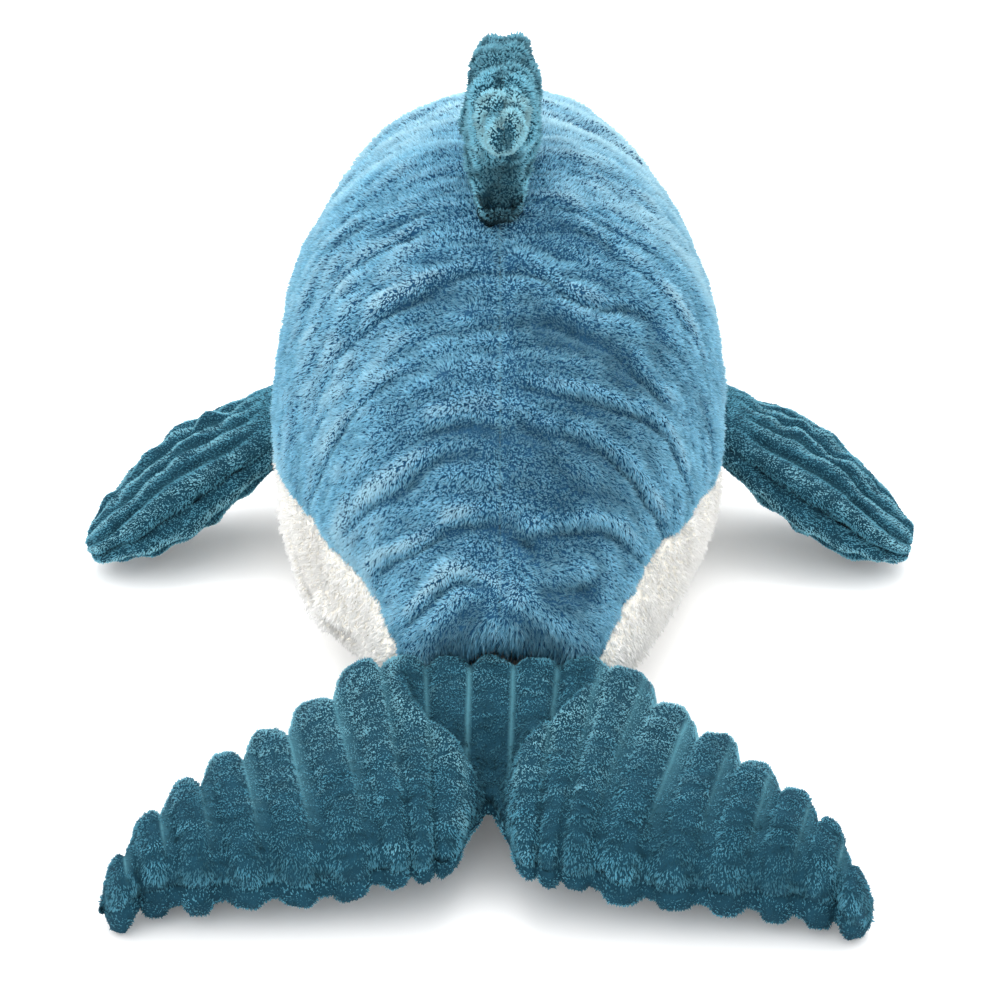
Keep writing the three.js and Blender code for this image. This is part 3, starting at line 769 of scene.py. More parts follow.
BACK_PILE = PileFinish(
    "back_fur", root=linear(46, 98, 132), middle=linear(124, 194, 226), tip=linear(162, 228, 254),
    pale=linear(200, 238, 250), shade=0.55, tick_size=3.4 * MM, tick_stretch=(0.8, 2.0, 1.0), tick_depth=0.4)
BACK_KNIT = linear(36, 80, 112)
BACK_BASE = ClothFinish("back_fur_backing", ground=BACK_KNIT, pale=BACK_KNIT)
BELLY_PILE = PileFinish(
    "belly_fur", root=linear(246, 244, 238), middle=linear(252, 251, 248), tip=linear(255, 255, 253),
    pale=linear(255, 255, 255), shade=0.15)
BELLY_KNIT = linear(240, 236, 226)
BELLY_BASE = ClothFinish("belly_fur_backing", ground=BELLY_KNIT, pale=BELLY_KNIT)
FLUKE_PILE = PileFinish(
    "fluke_velour", root=linear(20, 50, 62), middle=linear(76, 146, 172), tip=linear(114, 184, 206),
    pale=linear(142, 202, 218), patch_size=9 * MM, tick_stretch=(0.8, 3.4, 1.4), tick_depth=0.8)
FLIPPER_PILE = replace(
    FLUKE_PILE, name="flipper_velour", middle=linear(68, 134, 158), shade=0.2, tick_stretch=(2.2, 0.8, 1.6),
    tick_depth=0.3)
# The fin velour painted lighter on the dorsal fin, for the light that falls on its top.
DORSAL_LIT_PILE = replace(
    FLUKE_PILE, name="dorsal_velour", middle=linear(114, 188, 212), tip=linear(150, 216, 238),
    pale=linear(186, 232, 238), tick_stretch=(1, 1, 1))
FIN_BASE = ClothFinish("fin_velour_backing", ground=linear(24, 62, 78), pale=linear(84, 138, 152))
FIBRE = ClothFinish("fibre", ground=linear(236, 236, 232), pale=linear(250, 250, 248), stitch_size=1.6 * MM)
EYE_PLASTIC = PlasticFinish("eye_plastic", linear(16, 17, 20), linear(30, 31, 34), 0.08, coat=0.6)
WASHER_PLASTIC = PlasticFinish("washer_plastic", linear(216, 218, 219), linear(196, 198, 200), 0.45)


@dataclass(frozen=True)
class Fabric:
    """One sort of cloth: the record's slot, its backing, its fibres and how they stand."""

    slot: str
    base: ClothFinish
    fibres: PileFinish
    pile: Pile


@dataclass(frozen=True)
class Cuts:
    """How the pile of one panel is parted, so that no piece of it grows too large."""

    axis: int = 0
    words: tuple = ("",)
    places: tuple = ()
    densities: tuple = (1.0,)


BACK_FUR = Fabric("back_fur", BACK_BASE, BACK_PILE, Pile(
    length=2.0 * MM, width=0.54 * MM, tufts_per_mm2=4.7, lean=0.55, swirl=0.9, swirl_size=14 * MM,
    clump_size=1.2 * MM, clump_pull=0.4, wildness=0.3, seed=11))
BELLY_FUR = Fabric("belly_fur", BELLY_BASE, BELLY_PILE, Pile(
    length=2.6 * MM, width=0.9 * MM, tufts_per_mm2=1.7, lean=0.9, swirl=0.7, swirl_size=24 * MM,
    clump_size=2.2 * MM, clump_pull=0.35, wildness=0.22, seed=112))
FLUKE_VELOUR = Fabric("fin_velour", FIN_BASE, FLUKE_PILE, Pile(
    length=1.3 * MM, width=0.62 * MM, tufts_per_mm2=4.4, lean=1.2, swirl=0.7, swirl_size=7 * MM,
    clump_size=1.2 * MM, clump_pull=0.12, wildness=0.2, seed=213))
FLIPPER_VELOUR = Fabric("fin_velour", FIN_BASE, FLIPPER_PILE, Pile(
    length=1.0 * MM, width=0.66 * MM, tufts_per_mm2=4.2, lean=0.7, swirl=0.5, swirl_size=8 * MM,
    clump_size=1.2 * MM, clump_pull=0.08, wildness=0.1, seed=314))
DORSAL_VELOUR = Fabric("fin_velour", FIN_BASE, DORSAL_LIT_PILE, Pile(
    length=1.6 * MM, width=0.75 * MM, tufts_per_mm2=4.6, lean=0.4, swirl=0.8, swirl_size=8 * MM,
    clump_size=2.3 * MM, clump_pull=0.55, wildness=0.25, seed=415))


def sew(
    name: str, cloth: Cloth, inner: Array, fabric: Fabric, body: str, tree: PileTree, cuts: Cuts
) -> list[Piece]:
    """Makes one panel and its pile.

    Args:
        name: what its node is called, without the last word.
        cloth: its outer face.
        inner: the points of its inner face.
        fabric: what it is made of.
        body: the body that it moves with.
        tree: what grows the pile.
        cuts: how the pile is parted.

    Returns:
        The panel and its pile.
    """
    panel = sewn_panel(f"{name}_cloth", cloth, inner)
    made = [dress(panel, fabric.base.material(), body, fabric.slot, f"{name}_panel")]
    places = np.array([vertex.co[cuts.axis] for vertex in panel.data.vertices])
    panel.data.attributes.new("grown", "FLOAT", "POINT")
    edges = (-10.0, *cuts.places, 10.0)
    for word, low, high, density in zip(cuts.words, edges[:-1], edges[1:], cuts.densities):
        panel.data.attributes["grown"].data.foreach_set(
            "value", (density * ((places >= low) & (places < high))).astype(np.float32))
        piece = f"{name}_{word}_pile" if word else f"{name}_pile"
        made.append(tree.grow(piece, panel, fabric, body))
    panel.data.attributes.remove(panel.data.attributes["grown"])
    return made


# Body


@dataclass(frozen=True)
class Fold:
    """A soft fold across one back panel, where its solid has it. Y and height in mm.

    Drift is how far ahead the fold would meet the side seam, and start and end are the shares of the
    way down from the centre back between which it shows. It rises slowly from the head's side and
    hangs over a crease on the tail's side.
    """

    side: Side
    y: float
    drift: float
    start: float
    end: float
    height: float
    reach: float = 6.5

    def relief(self, along: Array, down: Array) -> tuple[Array, Array]:
        """Works out the fold over a grid of places.

        Args:
            along: Y of each point, in mm.
            down: each point's share of the way from the centre back to the side seam.

        Returns:
            How far the cloth stands out in mm, and the light painted into its colour: a painted highlight
            above 0 on the ridge, painted shade below 0 in the crease.
        """
        shown = np.sqrt(np.sin(np.pi * np.clip((down - self.start) / (self.end - self.start), 0, 1)))
        ahead = along - self.y - self.drift * down**2
        swell = smoothstep(ahead, -1.4, 1.2) * np.exp(-np.maximum(ahead, 0) / self.reach)
        crease = bump(ahead, -1.5, 1.3)
        # Painted highlight on the ridge, painted shade in the crease.
        light = (0.7 * bump(ahead, 0.9, 1.3) - 1.7 * bump(ahead, -1.7, 0.9)) * shown
        return 1.3 * self.height * (swell - 0.7 * crease) * shown, light * min(1.0, self.height / 1.6)


@dataclass(frozen=True)
class Crease:
    """A narrow crease in the cloth, along (Y in mm, degrees from the crest) points."""

    route: tuple
    depth: float
    width: float = 1.3
    ridge: float = 0.7

    def relief(self, along: Array, across: Array, scale: Array) -> tuple[Array, Array]:
        """Works out the crease, and the ridge on its head side, over a grid of places.

        Args:
            along: Y of each point, in mm.
            across: degrees from the crest of each point, right positive.
            scale: the cloth's length in mm for one degree there.

        Returns:
            How far the cloth stands out in mm, and the light painted into its colour: a painted highlight
            above 0 on the ridge, painted shade below 0 in the crease.
        """
        route = np.array(self.route, float)
        share = np.linspace(0, 1, len(route))
        power = np.polyfit(share, route, min(3, len(route) - 1))
        fine = np.linspace(0, 1, 6 * len(route))
        curve = np.stack([np.polyval(power[:, k], fine) for k in (0, 1)], -1)
        best = np.full(along.shape, np.inf)
        ahead, passed = np.zeros(along.shape), np.zeros(along.shape)
        for number, (start, end) in enumerate(zip(curve[:-1], curve[1:])):
            step = np.stack([np.full(along.shape, end[0] - start[0]), (end[1] - start[1]) * scale], -1)
            off = np.stack([along - start[0], (across - start[1]) * scale], -1)
            reach = np.clip((off * step).sum(-1) / (step**2).sum(-1), 0, 1)
            gap = off - step * reach[..., None]
            distance = np.linalg.norm(gap, axis=-1)
            nearer = distance < best
            best = np.where(nearer, distance, best)
            ahead = np.where(nearer, np.sign(gap[..., 0]) * distance, ahead)
            passed = np.where(nearer, (number + reach) / (len(curve) - 1), passed)
        shown = np.sin(np.pi * np.clip(passed, 0.02, 0.98)) ** 0.5
        crease = bump(best, 0, self.width) * shown
        ridge = bump(ahead, 2 * self.width, 1.4 * self.width) * shown
        # Painted shade in the crease, and a painted highlight on the ridge beside it.
        dark = 1.4 * min(1.0, self.depth) * bump(ahead, -0.8, 1.4 * self.width) * shown
        return self.ridge * ridge - 1.2 * self.depth * crease, 0.6 * self.ridge * ridge - dark


@dataclass(frozen=True)
class Parting:
    """A spot where the fur opens like a whorl. Y and reach in mm, turn in degrees from the crest."""

    y: float
    turn: float
    reach: float

    def offsets(self, along: Array, across: Array, scale: Array) -> tuple[Array, Array, Array]:
        """Works out how far places on its own side of the body lie from it.

        Args:
            along: Y of each place, in mm.
            across: degrees from the crest of each place, right positive.
            scale: the cloth's length in mm for one degree there.

        Returns:
            How far ahead each place is, how far further down, and its distance, great on the other side.
        """
        off_y = np.broadcast_to(along - self.y, across.shape)
        off_turn = (np.abs(across) - abs(self.turn)) * scale
        distance = np.where(np.sign(across) == np.sign(self.turn), np.hypot(off_y, off_turn), 1e3)
        return off_y, off_turn, np.maximum(distance, 0.1)


L, R = Side.LEFT, Side.RIGHT
BACK_FOLDS = (
    Fold(R, 34, -10, 0.2, 0.9, 0.5), Fold(R, 10, -12, 0.04, 0.5, 0.7), Fold(R, -5, -8, 0.3, 0.8, 0.7),
    Fold(R, -20, -5, 0, 0.5, 1.4), Fold(R, -49, 13, 0.04, 1, 1.8), Fold(R, -57, 2, 0.03, 1, 2),
    Fold(R, -78, 11, 0.1, 1, 2), Fold(R, -92, -2, 0.05, 0.6, 1.4), Fold(L, 24, -14, 0.3, 0.95, 0.5),
    Fold(L, 0, -12, 0.1, 0.6, 0.7), Fold(L, -20, -8, 0, 0.55, 1.3), Fold(L, -44, 4, 0.3, 1, 1.3),
    Fold(L, -63, 8, 0.05, 0.9, 1.3), Fold(L, -75, 4, 0.15, 0.95, 2), Fold(L, -90, 0, 0, 0.8, 1.6),
)
CREASES = (
    Crease(((-59, 6), (-62, 18)), 1.6), Crease(((-59, -23), (-60, 0)), 1.2),
    Crease(((-77, -26), (-78, -12), (-78, 1)), 1.5), Crease(((-79, 4), (-83, 18)), 2.0),
    Crease(((-89, 15), (-87, 37), (-81, 52)), 1.5), Crease(((-97, -52), (-95, -25), (-93, -3)), 2.2, 1.7),
    Crease(((-22, -34), (-25, -10)), 0.8), Crease(((6, -30), (4, -12)), 0.8),
    Crease(((14, -50), (10, -30)), 0.7), Crease(((2, 12), (-4, 30)), 0.8),
    Crease(((-32, 6), (-33, 20), (-36, 44)), 1.6, 2.8, 1.0), Crease(((-39, 30), (-36, 58)), 1.2, 1.6),
    Crease(((-22, -100), (-44, -108), (-66, -104)), 2.0, 2.2, 1.2),
    Crease(((-60, -122), (-78, -112), (-90, -104)), 2.0, 2.0, 1.2),
)
PARTINGS = (Parting(-30, -7, 4.2), Parting(-46, -15, 3.0))


@dataclass
class BodyForm:
    """The body's outer form, by the same sizes as its solids."""

    rear_y: float = -97.5 * MM
    front_y: float = 212 * MM
    half_width: float = 61.5 * MM
    widest_y: float = 20 * MM
    tail_half_width: float = 23 * MM
    crest_z: float = 118 * MM
    crest_y: float = 45 * MM
    tail_top_z: float = 36.5 * MM
    tail_bottom_z: float = 2.5 * MM
    belly_lowest_y: float = 30 * MM
    nose_z: float = 46 * MM
    waist_share: float = 0.4
    seam_tail: float = 18
    seam_body: float = -2
    seam_level_y: float = 0.0
    width_powers: tuple = (1.1, 0.42)
    top_powers: tuple = (0.8, 0.42)
    bottom_powers: tuple = (0.5, 0.32)
    upper_roundness: float = 2.2
    lower_roundness: float = 2.8

    def _along(self, y: Number, values: tuple, peak_y: float, front_y: float, powers: tuple) -> Array:
        """Works out a size that goes from its rear value to its peak and on to its front value.

        Args:
            y: the places along the body.
            values: the size at the rear, at the peak and at the front.
            peak_y: where the peak lies.
            front_y: where the front lies.
            powers: how full the form is behind the peak and ahead of it, fuller below 1.

        Returns:
            The size at each place.
        """
        rear, peak, front = values
        behind = y < peak_y
        end_y = np.where(behind, self.rear_y, front_y)
        swell = np.maximum(np.cos(np.clip((peak_y - y) / (peak_y - end_y), 0, 1) * np.pi / 2), 0.0)
        return np.where(behind, lerp(rear, peak, swell ** powers[0]), lerp(front, peak, swell ** powers[1]))

    def section(self, y: Number, inset: float) -> tuple:
        """Works out the section at y.

        Args:
            y: the places along the body.
            inset: how far inside the skin the section lies.

        Returns:
            Its half width, top, bottom and the height of its waist.
        """
        front = self.front_y - inset
        width = self._along(
            y, (self.tail_half_width - inset, self.half_width - inset, 0.0), self.widest_y, front,
            self.width_powers)
        top = self._along(
            y, (self.tail_top_z - inset, self.crest_z - inset, self.nose_z), self.crest_y, front,
            self.top_powers)
        bottom = self._along(
            y, (self.tail_bottom_z + inset, inset, self.nose_z), self.belly_lowest_y, front,
            self.bottom_powers)
        return width, top, bottom, lerp(bottom, top, self.waist_share)

    def point(self, y: Number, turn: Number, inset: float = 0.0) -> Array:
        """Works out points round the body.

        Args:
            y: the places along the body.
            turn: degrees from the crest, right positive, 180 underneath.
            inset: how far inside the skin the points lie.

        Returns:
            The points.
        """
        width, top, bottom, waist = self.section(y, inset)
        angle = np.radians(90 - np.abs(turn))
        upper = angle > 0
        power = np.where(upper, 2 / self.upper_roundness, 2 / self.lower_roundness)
        out = np.maximum(np.cos(angle), 0) ** power
        rise = np.abs(np.sin(angle)) ** power
        z = np.where(upper, lerp(waist, top, rise), lerp(waist, bottom, rise))
        return np.stack(np.broadcast_arrays(np.sign(turn) * width * out, y, z), -1)

    def normals(self, y: Number, turn: Number) -> Array:
        """Works out the directions straight out of the skin.

        Args:
            y: the places along the body.
            turn: degrees from the crest, right positive.

        Returns:
            The directions.
        """
        step_y, step_turn = 0.5 * MM, 0.5
        y_back = np.minimum(y, self.front_y - 2 * step_y)
        ahead = self.point(y_back + step_y, turn) - self.point(y_back - step_y, turn)
        round_ = self.point(y_back, turn + step_turn) - self.point(y_back, turn - step_turn)
        flipped = unit(np.cross(round_, ahead))
        return np.where(flipped[..., 2:3] * np.cos(np.radians(turn))[..., None] < -0.2, -flipped, flipped)

    def seam_turn(self, y: Number) -> Number:
        """Returns how many degrees from the crest the side seam lies."""
        return 90 - lerp(self.seam_tail, self.seam_body, smoothstep(y, self.rear_y, self.seam_level_y))

    def mm_per_degree(self, y: Number) -> Number:
        """Returns the length in mm of one degree of turn at y, about the same all round."""
        width, top, bottom, _ = self.section(y, 0.0)
        return (width + (top - bottom) / 2) / 2 * np.pi / 180 / MM


@dataclass(frozen=True)
class Spot:
    """A soft spot on the skin: it lifts the cloth, and it also serves as a patch of painted light and shade.
    Y and its reach in mm, turns in degrees.
    """

    amount: float
    y: float
    reach: float
    turn: float
    turn_reach: float

    def at(self, along: Array, turn: Array) -> Array:
        """Returns the amount at each place, along in mm."""
        return self.amount * bump(turn, self.turn, self.turn_reach) * bump(along, self.y, self.reach)


@dataclass
class Body:
    """The body: two back panels and a belly panel of fur cloth over fibre. Relief heights are in mm."""

    form: BodyForm = field(default_factory=BodyForm)
    thickness: float = 2.6 * MM
    rear_lip: float = 4.4 * MM
    curl_share: float = 0.92
    rim_rows: int = 6
    rim_pile: float = 1.1
    rim_nap: float = 1.8
    back_turns: tuple = (110.0, 80.0)
    rested_turns: tuple = (175.0, 130.0)
    tail_rows: int = 90
    back_rows: int = 56
    head_rows: int = 30
    head_y: float = 120 * MM
    back_columns: int = 44
    belly_columns: int = 56
    seam_depth: float = 1.2 * MM
    seam_width: float = 2.0
    seam_gap: float = 0.12
    outward_nap: float = 0.5
    swell: float = 0.7
    ripple: float = 0.3
    crinkle: float = 0.3
    belly_sag: Spot = Spot(4.0, -44, 20, -108, 12)
    tail_draw: float = 3.0
    fin_dip: float = 2.2
    fin_dip_reach: float = 8.0
    # Painted light towards the head and crown, and painted shade towards the tail on the right side.
    crown_tone: float = 0.45
    tail_tone: float = -0.5
    # A patch of painted shade on the middle of the back and a patch of painted light on the upper right.
    tones: tuple = (Spot(-0.2, -10, 50, 12, 40), Spot(0.3, 40, 45, 45, 30))
    # How a parting turns the nap, shortens the pile and paints shade at its core.
    parted_nap: float = 2.2
    parted_pile: float = 0.3
    parted_tone: float = 0.5
    least_pile: float = 0.25
    pressed_pile: float = 0.15
    pressed_depth: float = 2 * MM
    floor_gap: float = 0.3 * MM
    filling_inset: float = 4.2 * MM
    cut_places: tuple = (-25 * MM, 75 * MM)
    back_densities: tuple = (1.5, 1.1, 0.65)
    belly_densities: tuple = (1.3, 0.85, 0.45)

    def shape(self, y: Array, turn: Array, points: Array) -> tuple[Array, Array]:
        """Works out the swells, folds and creases of the filled cloth.

        Args:
            y: the grid's places along the body.
            turn: its turns round the body, in degrees from the crest.
            points: its points on the smooth form.

        Returns:
            How far the cloth stands out at each point, and the light painted into its colour: painted shade
            below 0 in the creases and hollows, painted highlights above 0 on the ridges.
        """
        along, across, scale, seam = np.broadcast_arrays(
            y / MM, turn, self.form.mm_per_degree(y), self.form.seam_turn(y))
        on_back = smoothstep(np.abs(across), *self.back_turns)
        down = np.clip(np.abs(across) / seam, 0, 1)
        wander = Waves(23, 18 * MM, 60 * MM).at(points) * 1.5
        relief = Waves(21, 26 * MM, 70 * MM, (0.5, 1.4, 0.7)).at(points) * self.swell
        ripples = Waves(22, 9 * MM, 26 * MM, (0.5, 1.3, 0.7)).swells(points) - 0.6
        crinkles = Waves(24, 5 * MM, 11 * MM, (0.45, 1.3, 0.6)).at(points)
        relief = relief + (self.ripple * ripples + self.crinkle * crinkles) * on_back
        # Painted shade in the ripples' hollows, and painted light and shade on the crinkles.
        light = (0.4 * np.minimum(ripples + 0.35, 0) + 0.14 * crinkles) * on_back
        shares = [
            tuple(np.where(np.sign(across) == fold.side.value, part, 0) * on_back
                  for part in fold.relief(along + wander, down))
            for fold in BACK_FOLDS
        ]
        shares += [crease.relief(along + 0.4 * wander, across, scale) for crease in CREASES]
        for height, painted_light_part in shares:
            relief = relief + height
            light = light + painted_light_part
        sag = self.belly_sag.at(along, across)
        sag = sag - self.tail_draw * bump(np.abs(across), 114, 14) * smoothstep(along, -52.0, -72.0)
        under_fin = smoothstep(np.abs(along - DorsalFin.hinge_y / MM), 38.0, 31.0)
        sag = sag - self.fin_dip * bump(across * scale, 0, self.fin_dip_reach) * under_fin * on_back
        return (relief + sag) * MM, np.clip(light, -1, 0.7)

    def seams(self, y: Array, turn: Array) -> Array:
        """Works out how near each point is to a sewn seam.

        Args:
            y: the grid's places along the body.
            turn: its turns round the body, in degrees from the crest.

        Returns:
            The nearness, from 0 to 1 on a seam.
        """
        scale = self.form.mm_per_degree(y)
        to_side = (np.abs(turn) - self.form.seam_turn(y)) * scale
        to_crest = np.where(np.abs(turn) < 90, turn * scale, 1e3)
        return np.maximum(bump(to_side, 0, self.seam_width), 0.7 * bump(to_crest, 0, self.seam_width))

    def tint(self, y: Array, turn: Array, points: Array) -> Array:
        """Works out how much paler or darker the pile is painted before its folds: painted light towards the
        head and crown, painted shade towards the tail, patches of painted light and shade, and random tone.

        Args:
            y: the grid's places along the body.
            turn: its turns round the body, in degrees from the crest.
            points: its points on the smooth form.

        Returns:
            The tone, above 0 where the pile is paler.
        """
        # Painted light towards the head and crown, random tone, painted shade towards the tail, and patches
        # of painted light and shade.
        tone = self.crown_tone * smoothstep(y, -20 * MM, 120 * MM) * smoothstep(np.abs(turn), 120.0, 30.0)
        tone = tone + 0.12 * Waves(25, 20 * MM, 60 * MM, (0.5, 1.3, 0.7)).at(points)
        tone = tone + self.tail_tone * smoothstep(y, 10 * MM, -60 * MM) * bump(turn, 30, 24)
        for spot in self.tones:
            tone = tone + spot.at(y / MM, turn)
        return tone

    def skin(self, y: Array, turn: Array, outward_nap: float) -> Cloth:
        """Makes the cloth over a grid.

        Args:
            y: the grid's places along the body.
            turn: its turns round the body, in degrees from the crest.
            outward_nap: how far the pile is brushed from the first column towards the last.

        Returns:
            The cloth, with its nap, partings and tones, which carry the painted light and shade of its
            folds, creases and partings.
        """
        points, normals = self.form.point(y, turn), self.form.normals(y, turn)
        ends = smoothstep(y, self.form.rear_y, self.form.rear_y + 8 * MM)
        ends = ends * smoothstep(y, self.form.front_y - 1 * MM, self.form.front_y - 20 * MM)
        rested = smoothstep(np.abs(turn), *self.rested_turns)
        relief, light = self.shape(y, turn, points)
        seams = self.seams(y, turn)
        move = (relief * rested - self.seam_depth * seams) * ends
        at_rim = 1 - np.clip((y - self.form.rear_y) / self.rear_lip, 0, 1)
        curl = self.curl_share * self.rear_lip * (1 - closing(at_rim, 2))
        shaped = points + normals * (move - curl)[..., None]
        shaped[..., 2] = np.maximum(shaped[..., 2], self.floor_gap)
        lengthwise, outward = unit(np.gradient(points, axis=0)), unit(np.gradient(points, axis=1))
        nap = outward * outward_nap * (1 - seams)[..., None] - lengthwise
        nap = nap - normals * (self.rim_nap * at_rim)[..., None]
        tone = self.tint(y, turn, points)
        # Painted shade in the creases and painted highlights on the ridges, put into the pile's colour.
        tone = np.where(light < 0, np.maximum(tone + 0.9 * light, -0.95), tone + light)
        pile = 1.0 + 0.35 * np.minimum(light, 0) - 0.25 * seams + self.rim_pile * at_rim
        across, scale = np.broadcast_arrays(turn, self.form.mm_per_degree(y))
        for parting in PARTINGS:
            off_y, off_turn, distance = parting.offsets(y / MM, across, scale)
            away = (lengthwise * off_y[..., None] + outward * off_turn[..., None]) / distance[..., None]
            nap = nap + away * (self.parted_nap * bump(distance, 0, parting.reach))[..., None]
            core = bump(distance, 0, 0.3 * parting.reach)
            pile = pile - self.parted_pile * core
            # Painted shade at the parting's core.
            tone = tone - self.parted_tone * core
        lying = self.pressed_pile + shaped[..., 2] / self.pressed_depth
        pressed = np.where(np.abs(across) > 100, lying, np.inf)
        return Cloth.of(shaped, nap, pile=np.minimum(np.maximum(pile, self.least_pile), pressed), tone=tone)

    def stations(self, step: int) -> Array:
        """Spreads places along the body, close together where its folds are.

        Args:
            step: 1 for all of them, 2 for every second one and so on.

        Returns:
            The places, one to a row.
        """
        arc = np.linspace(0, np.pi / 2, self.rim_rows, endpoint=False)
        rim = self.form.rear_y + self.rear_lip * (1 - np.cos(arc))
        tail = np.linspace(self.form.rear_y + self.rear_lip, 0, self.tail_rows, endpoint=False)
        back = np.linspace(0, self.head_y, self.back_rows, endpoint=False)
        share = np.linspace(0, 1, self.head_rows + 1)
        head = lerp(self.head_y, self.form.front_y, 1 - (1 - share) ** 1.8)
        return np.concatenate([rim, tail, back, head])[::step, None]

    def build(self, tree: PileTree) -> list[Piece]:
        """Builds the three panels with their pile and the filling.

        Args:
            tree: what grows the pile.

        Returns:
            The pieces.
        """
        made = []
        y = self.stations(1)
        share = np.linspace(0, 1, self.back_columns + 1)[None, :]
        for side in Side:
            turn = side.value * lerp(self.seam_gap, self.form.seam_turn(y) - self.seam_gap, share)
            made += self.sewn(f"back_{side.word}", y, turn, BACK_FUR, tree)
        y = self.stations(2)
        share = np.linspace(0, 1, self.belly_columns + 1)[None, :]
        seam = self.form.seam_turn(y) + self.seam_gap
        turn = lerp(seam - 360, -seam, share)
        made += self.sewn("belly", y, np.where(turn < -180, turn + 360, turn), BELLY_FUR, tree)
        made.append(self.filling())
        return made

    def sewn(self, name: str, y: Array, turn: Array, fabric: Fabric, tree: PileTree) -> list[Piece]:
        """Makes one panel of the body and its pile, parted along the body.

        Args:
            name: what its node is called, without the last word.
            y: its grid's places along the body.
            turn: its turns round the body, in degrees from the crest.
            fabric: what it is made of.
            tree: what grows the pile.

        Returns:
            The panel and its pile.
        """
        on_back = fabric is BACK_FUR
        cloth = self.skin(y, turn, self.outward_nap if on_back else 0.0)
        lip = lerp(self.rear_lip, self.thickness, smoothstep(y, self.form.rear_y, self.form.rear_y + 7 * MM))
        smooth = self.form.point(y, turn)
        near_rim = smoothstep(y, self.form.rear_y + 8 * MM, self.form.rear_y + self.rear_lip)[..., None]
        inner = lerp(cloth.points, smooth, near_rim) - self.form.normals(y, turn) * lip[..., None]
        densities = self.back_densities if on_back else self.belly_densities
        cuts = Cuts(1, ("rear", "middle", "front"), self.cut_places, densities)
        return sew(name, cloth, inner, fabric, "body", tree, cuts)

    def filling(self) -> Piece:
        """Makes the fibre filling, a lumpy closed form inside the panels.

        Returns:
            The piece.
        """
        inset = self.filling_inset
        y = lerp(self.form.rear_y + 3 * inset, self.form.front_y - 2 * inset, np.linspace(0, 1, 60))[:, None]
        turn = np.linspace(-180, 180, 61)[None, :]
        points = self.form.point(y, turn, inset)
        lumps = Waves(31, 14 * MM, 40 * MM).at(points) * 0.8 * MM
        points = points - self.form.normals(y, turn) * (1.6 * MM + lumps)[..., None]
        return stuffing("body_stuffing", points[:, :-1], "body", "body_filling")


# Fins


def column_angles(front: int, rear: int, roundness: float, rear_roundness: float) -> Array:
    """Spreads columns evenly over a blade's chord, closer together where its edges turn over.

    Args:
        front: how many columns lie ahead of the middle.
        rear: how many lie behind it.
        roundness: the power of the outline ahead of the middle.
        rear_roundness: the same behind it.

    Returns:
        The columns' angles, from 0 at the front edge to pi at the rear.
    """
    def quarter(count: int, power: float) -> Array:
        """Returns the angles from the middle to one edge."""
        share = np.linspace(0, 1, count + 1)
        return np.arccos(np.clip(lerp(share, np.sin(share * np.pi / 2), 0.6), 0, 1) ** (power / 2))

    ahead = quarter(front, roundness)[::-1]
    return np.concatenate([ahead[:-1], np.pi - quarter(rear, rear_roundness)])


@dataclass
class Blade:
    """A fin's stations along its own line, as arrays."""

    centre: Array
    chord: Array
    normal: Array
    ahead: Array
    behind: Array
    thick: Array
    roundness: Array
    rear_roundness: Array
    pinch: Array

    def points(self, angle: Array, inset: float, dent: Number) -> Array:
        """Works out points round each station.

        Args:
            angle: for each station a row of angles, 0 at its front edge and pi at its rear.
            inset: how far inside the outer face the points lie.
            dent: how much further in each point lies.

        Returns:
            Rows of points.
        """
        cosine, sine = np.cos(angle), np.sin(angle)
        sizes = (self.ahead, self.behind, self.thick, self.roundness, self.rear_roundness, self.pinch)
        ahead, behind, thick, roundness, rear_roundness, pinch = (size[:, None] for size in sizes)
        power = 2 / np.where(cosine < 0, rear_roundness, roundness)
        chordwise = signed_power(cosine, power)
        across = signed_power(np.where(np.abs(sine) < 1e-9, 0, sine), power)
        reach = np.maximum(np.where(chordwise > 0, ahead, behind) - inset, 0)
        depth = np.maximum(thick - inset - pinch * smoothstep(-cosine, 0, 1), 0)
        return (
            self.centre[:, None, :]
            + self.chord[:, None, :] * (chordwise * (reach - dent))[..., None]
            + self.normal[:, None, :] * (across * (depth - dent))[..., None]
        )


def straight_blade(
    centre: Array, chord: tuple, normal: tuple, half: Array, thick: Array, roundness: float
) -> Blade:
    """Returns a blade whose stations are alike but for their place, half chord and half thickness."""
    ones = np.ones(len(centre))
    return Blade(centre, np.outer(ones, chord), np.outer(ones, normal), half, half, thick,
                 roundness * ones, roundness * ones, 0 * ones)


def root_swell(count: int, radius: float, half_chord: float, roundness: float) -> tuple:
    """Works out how the rounded root of a fin swells from nothing.

    Args:
        count: how many stations the root has.
        radius: half the fin's thickness where it leaves the root.
        half_chord: half its chord there.
        roundness: the power of the root's outline.

    Returns:
        The offset, half chord and half thickness of each station.
    """
    turn = np.linspace(0, np.pi / 2, count, endpoint=False)
    spread = half_chord * (1 - np.cos(turn) ** roundness) ** (1 / roundness)
    return -radius * np.cos(turn), spread, radius * np.sin(turn)


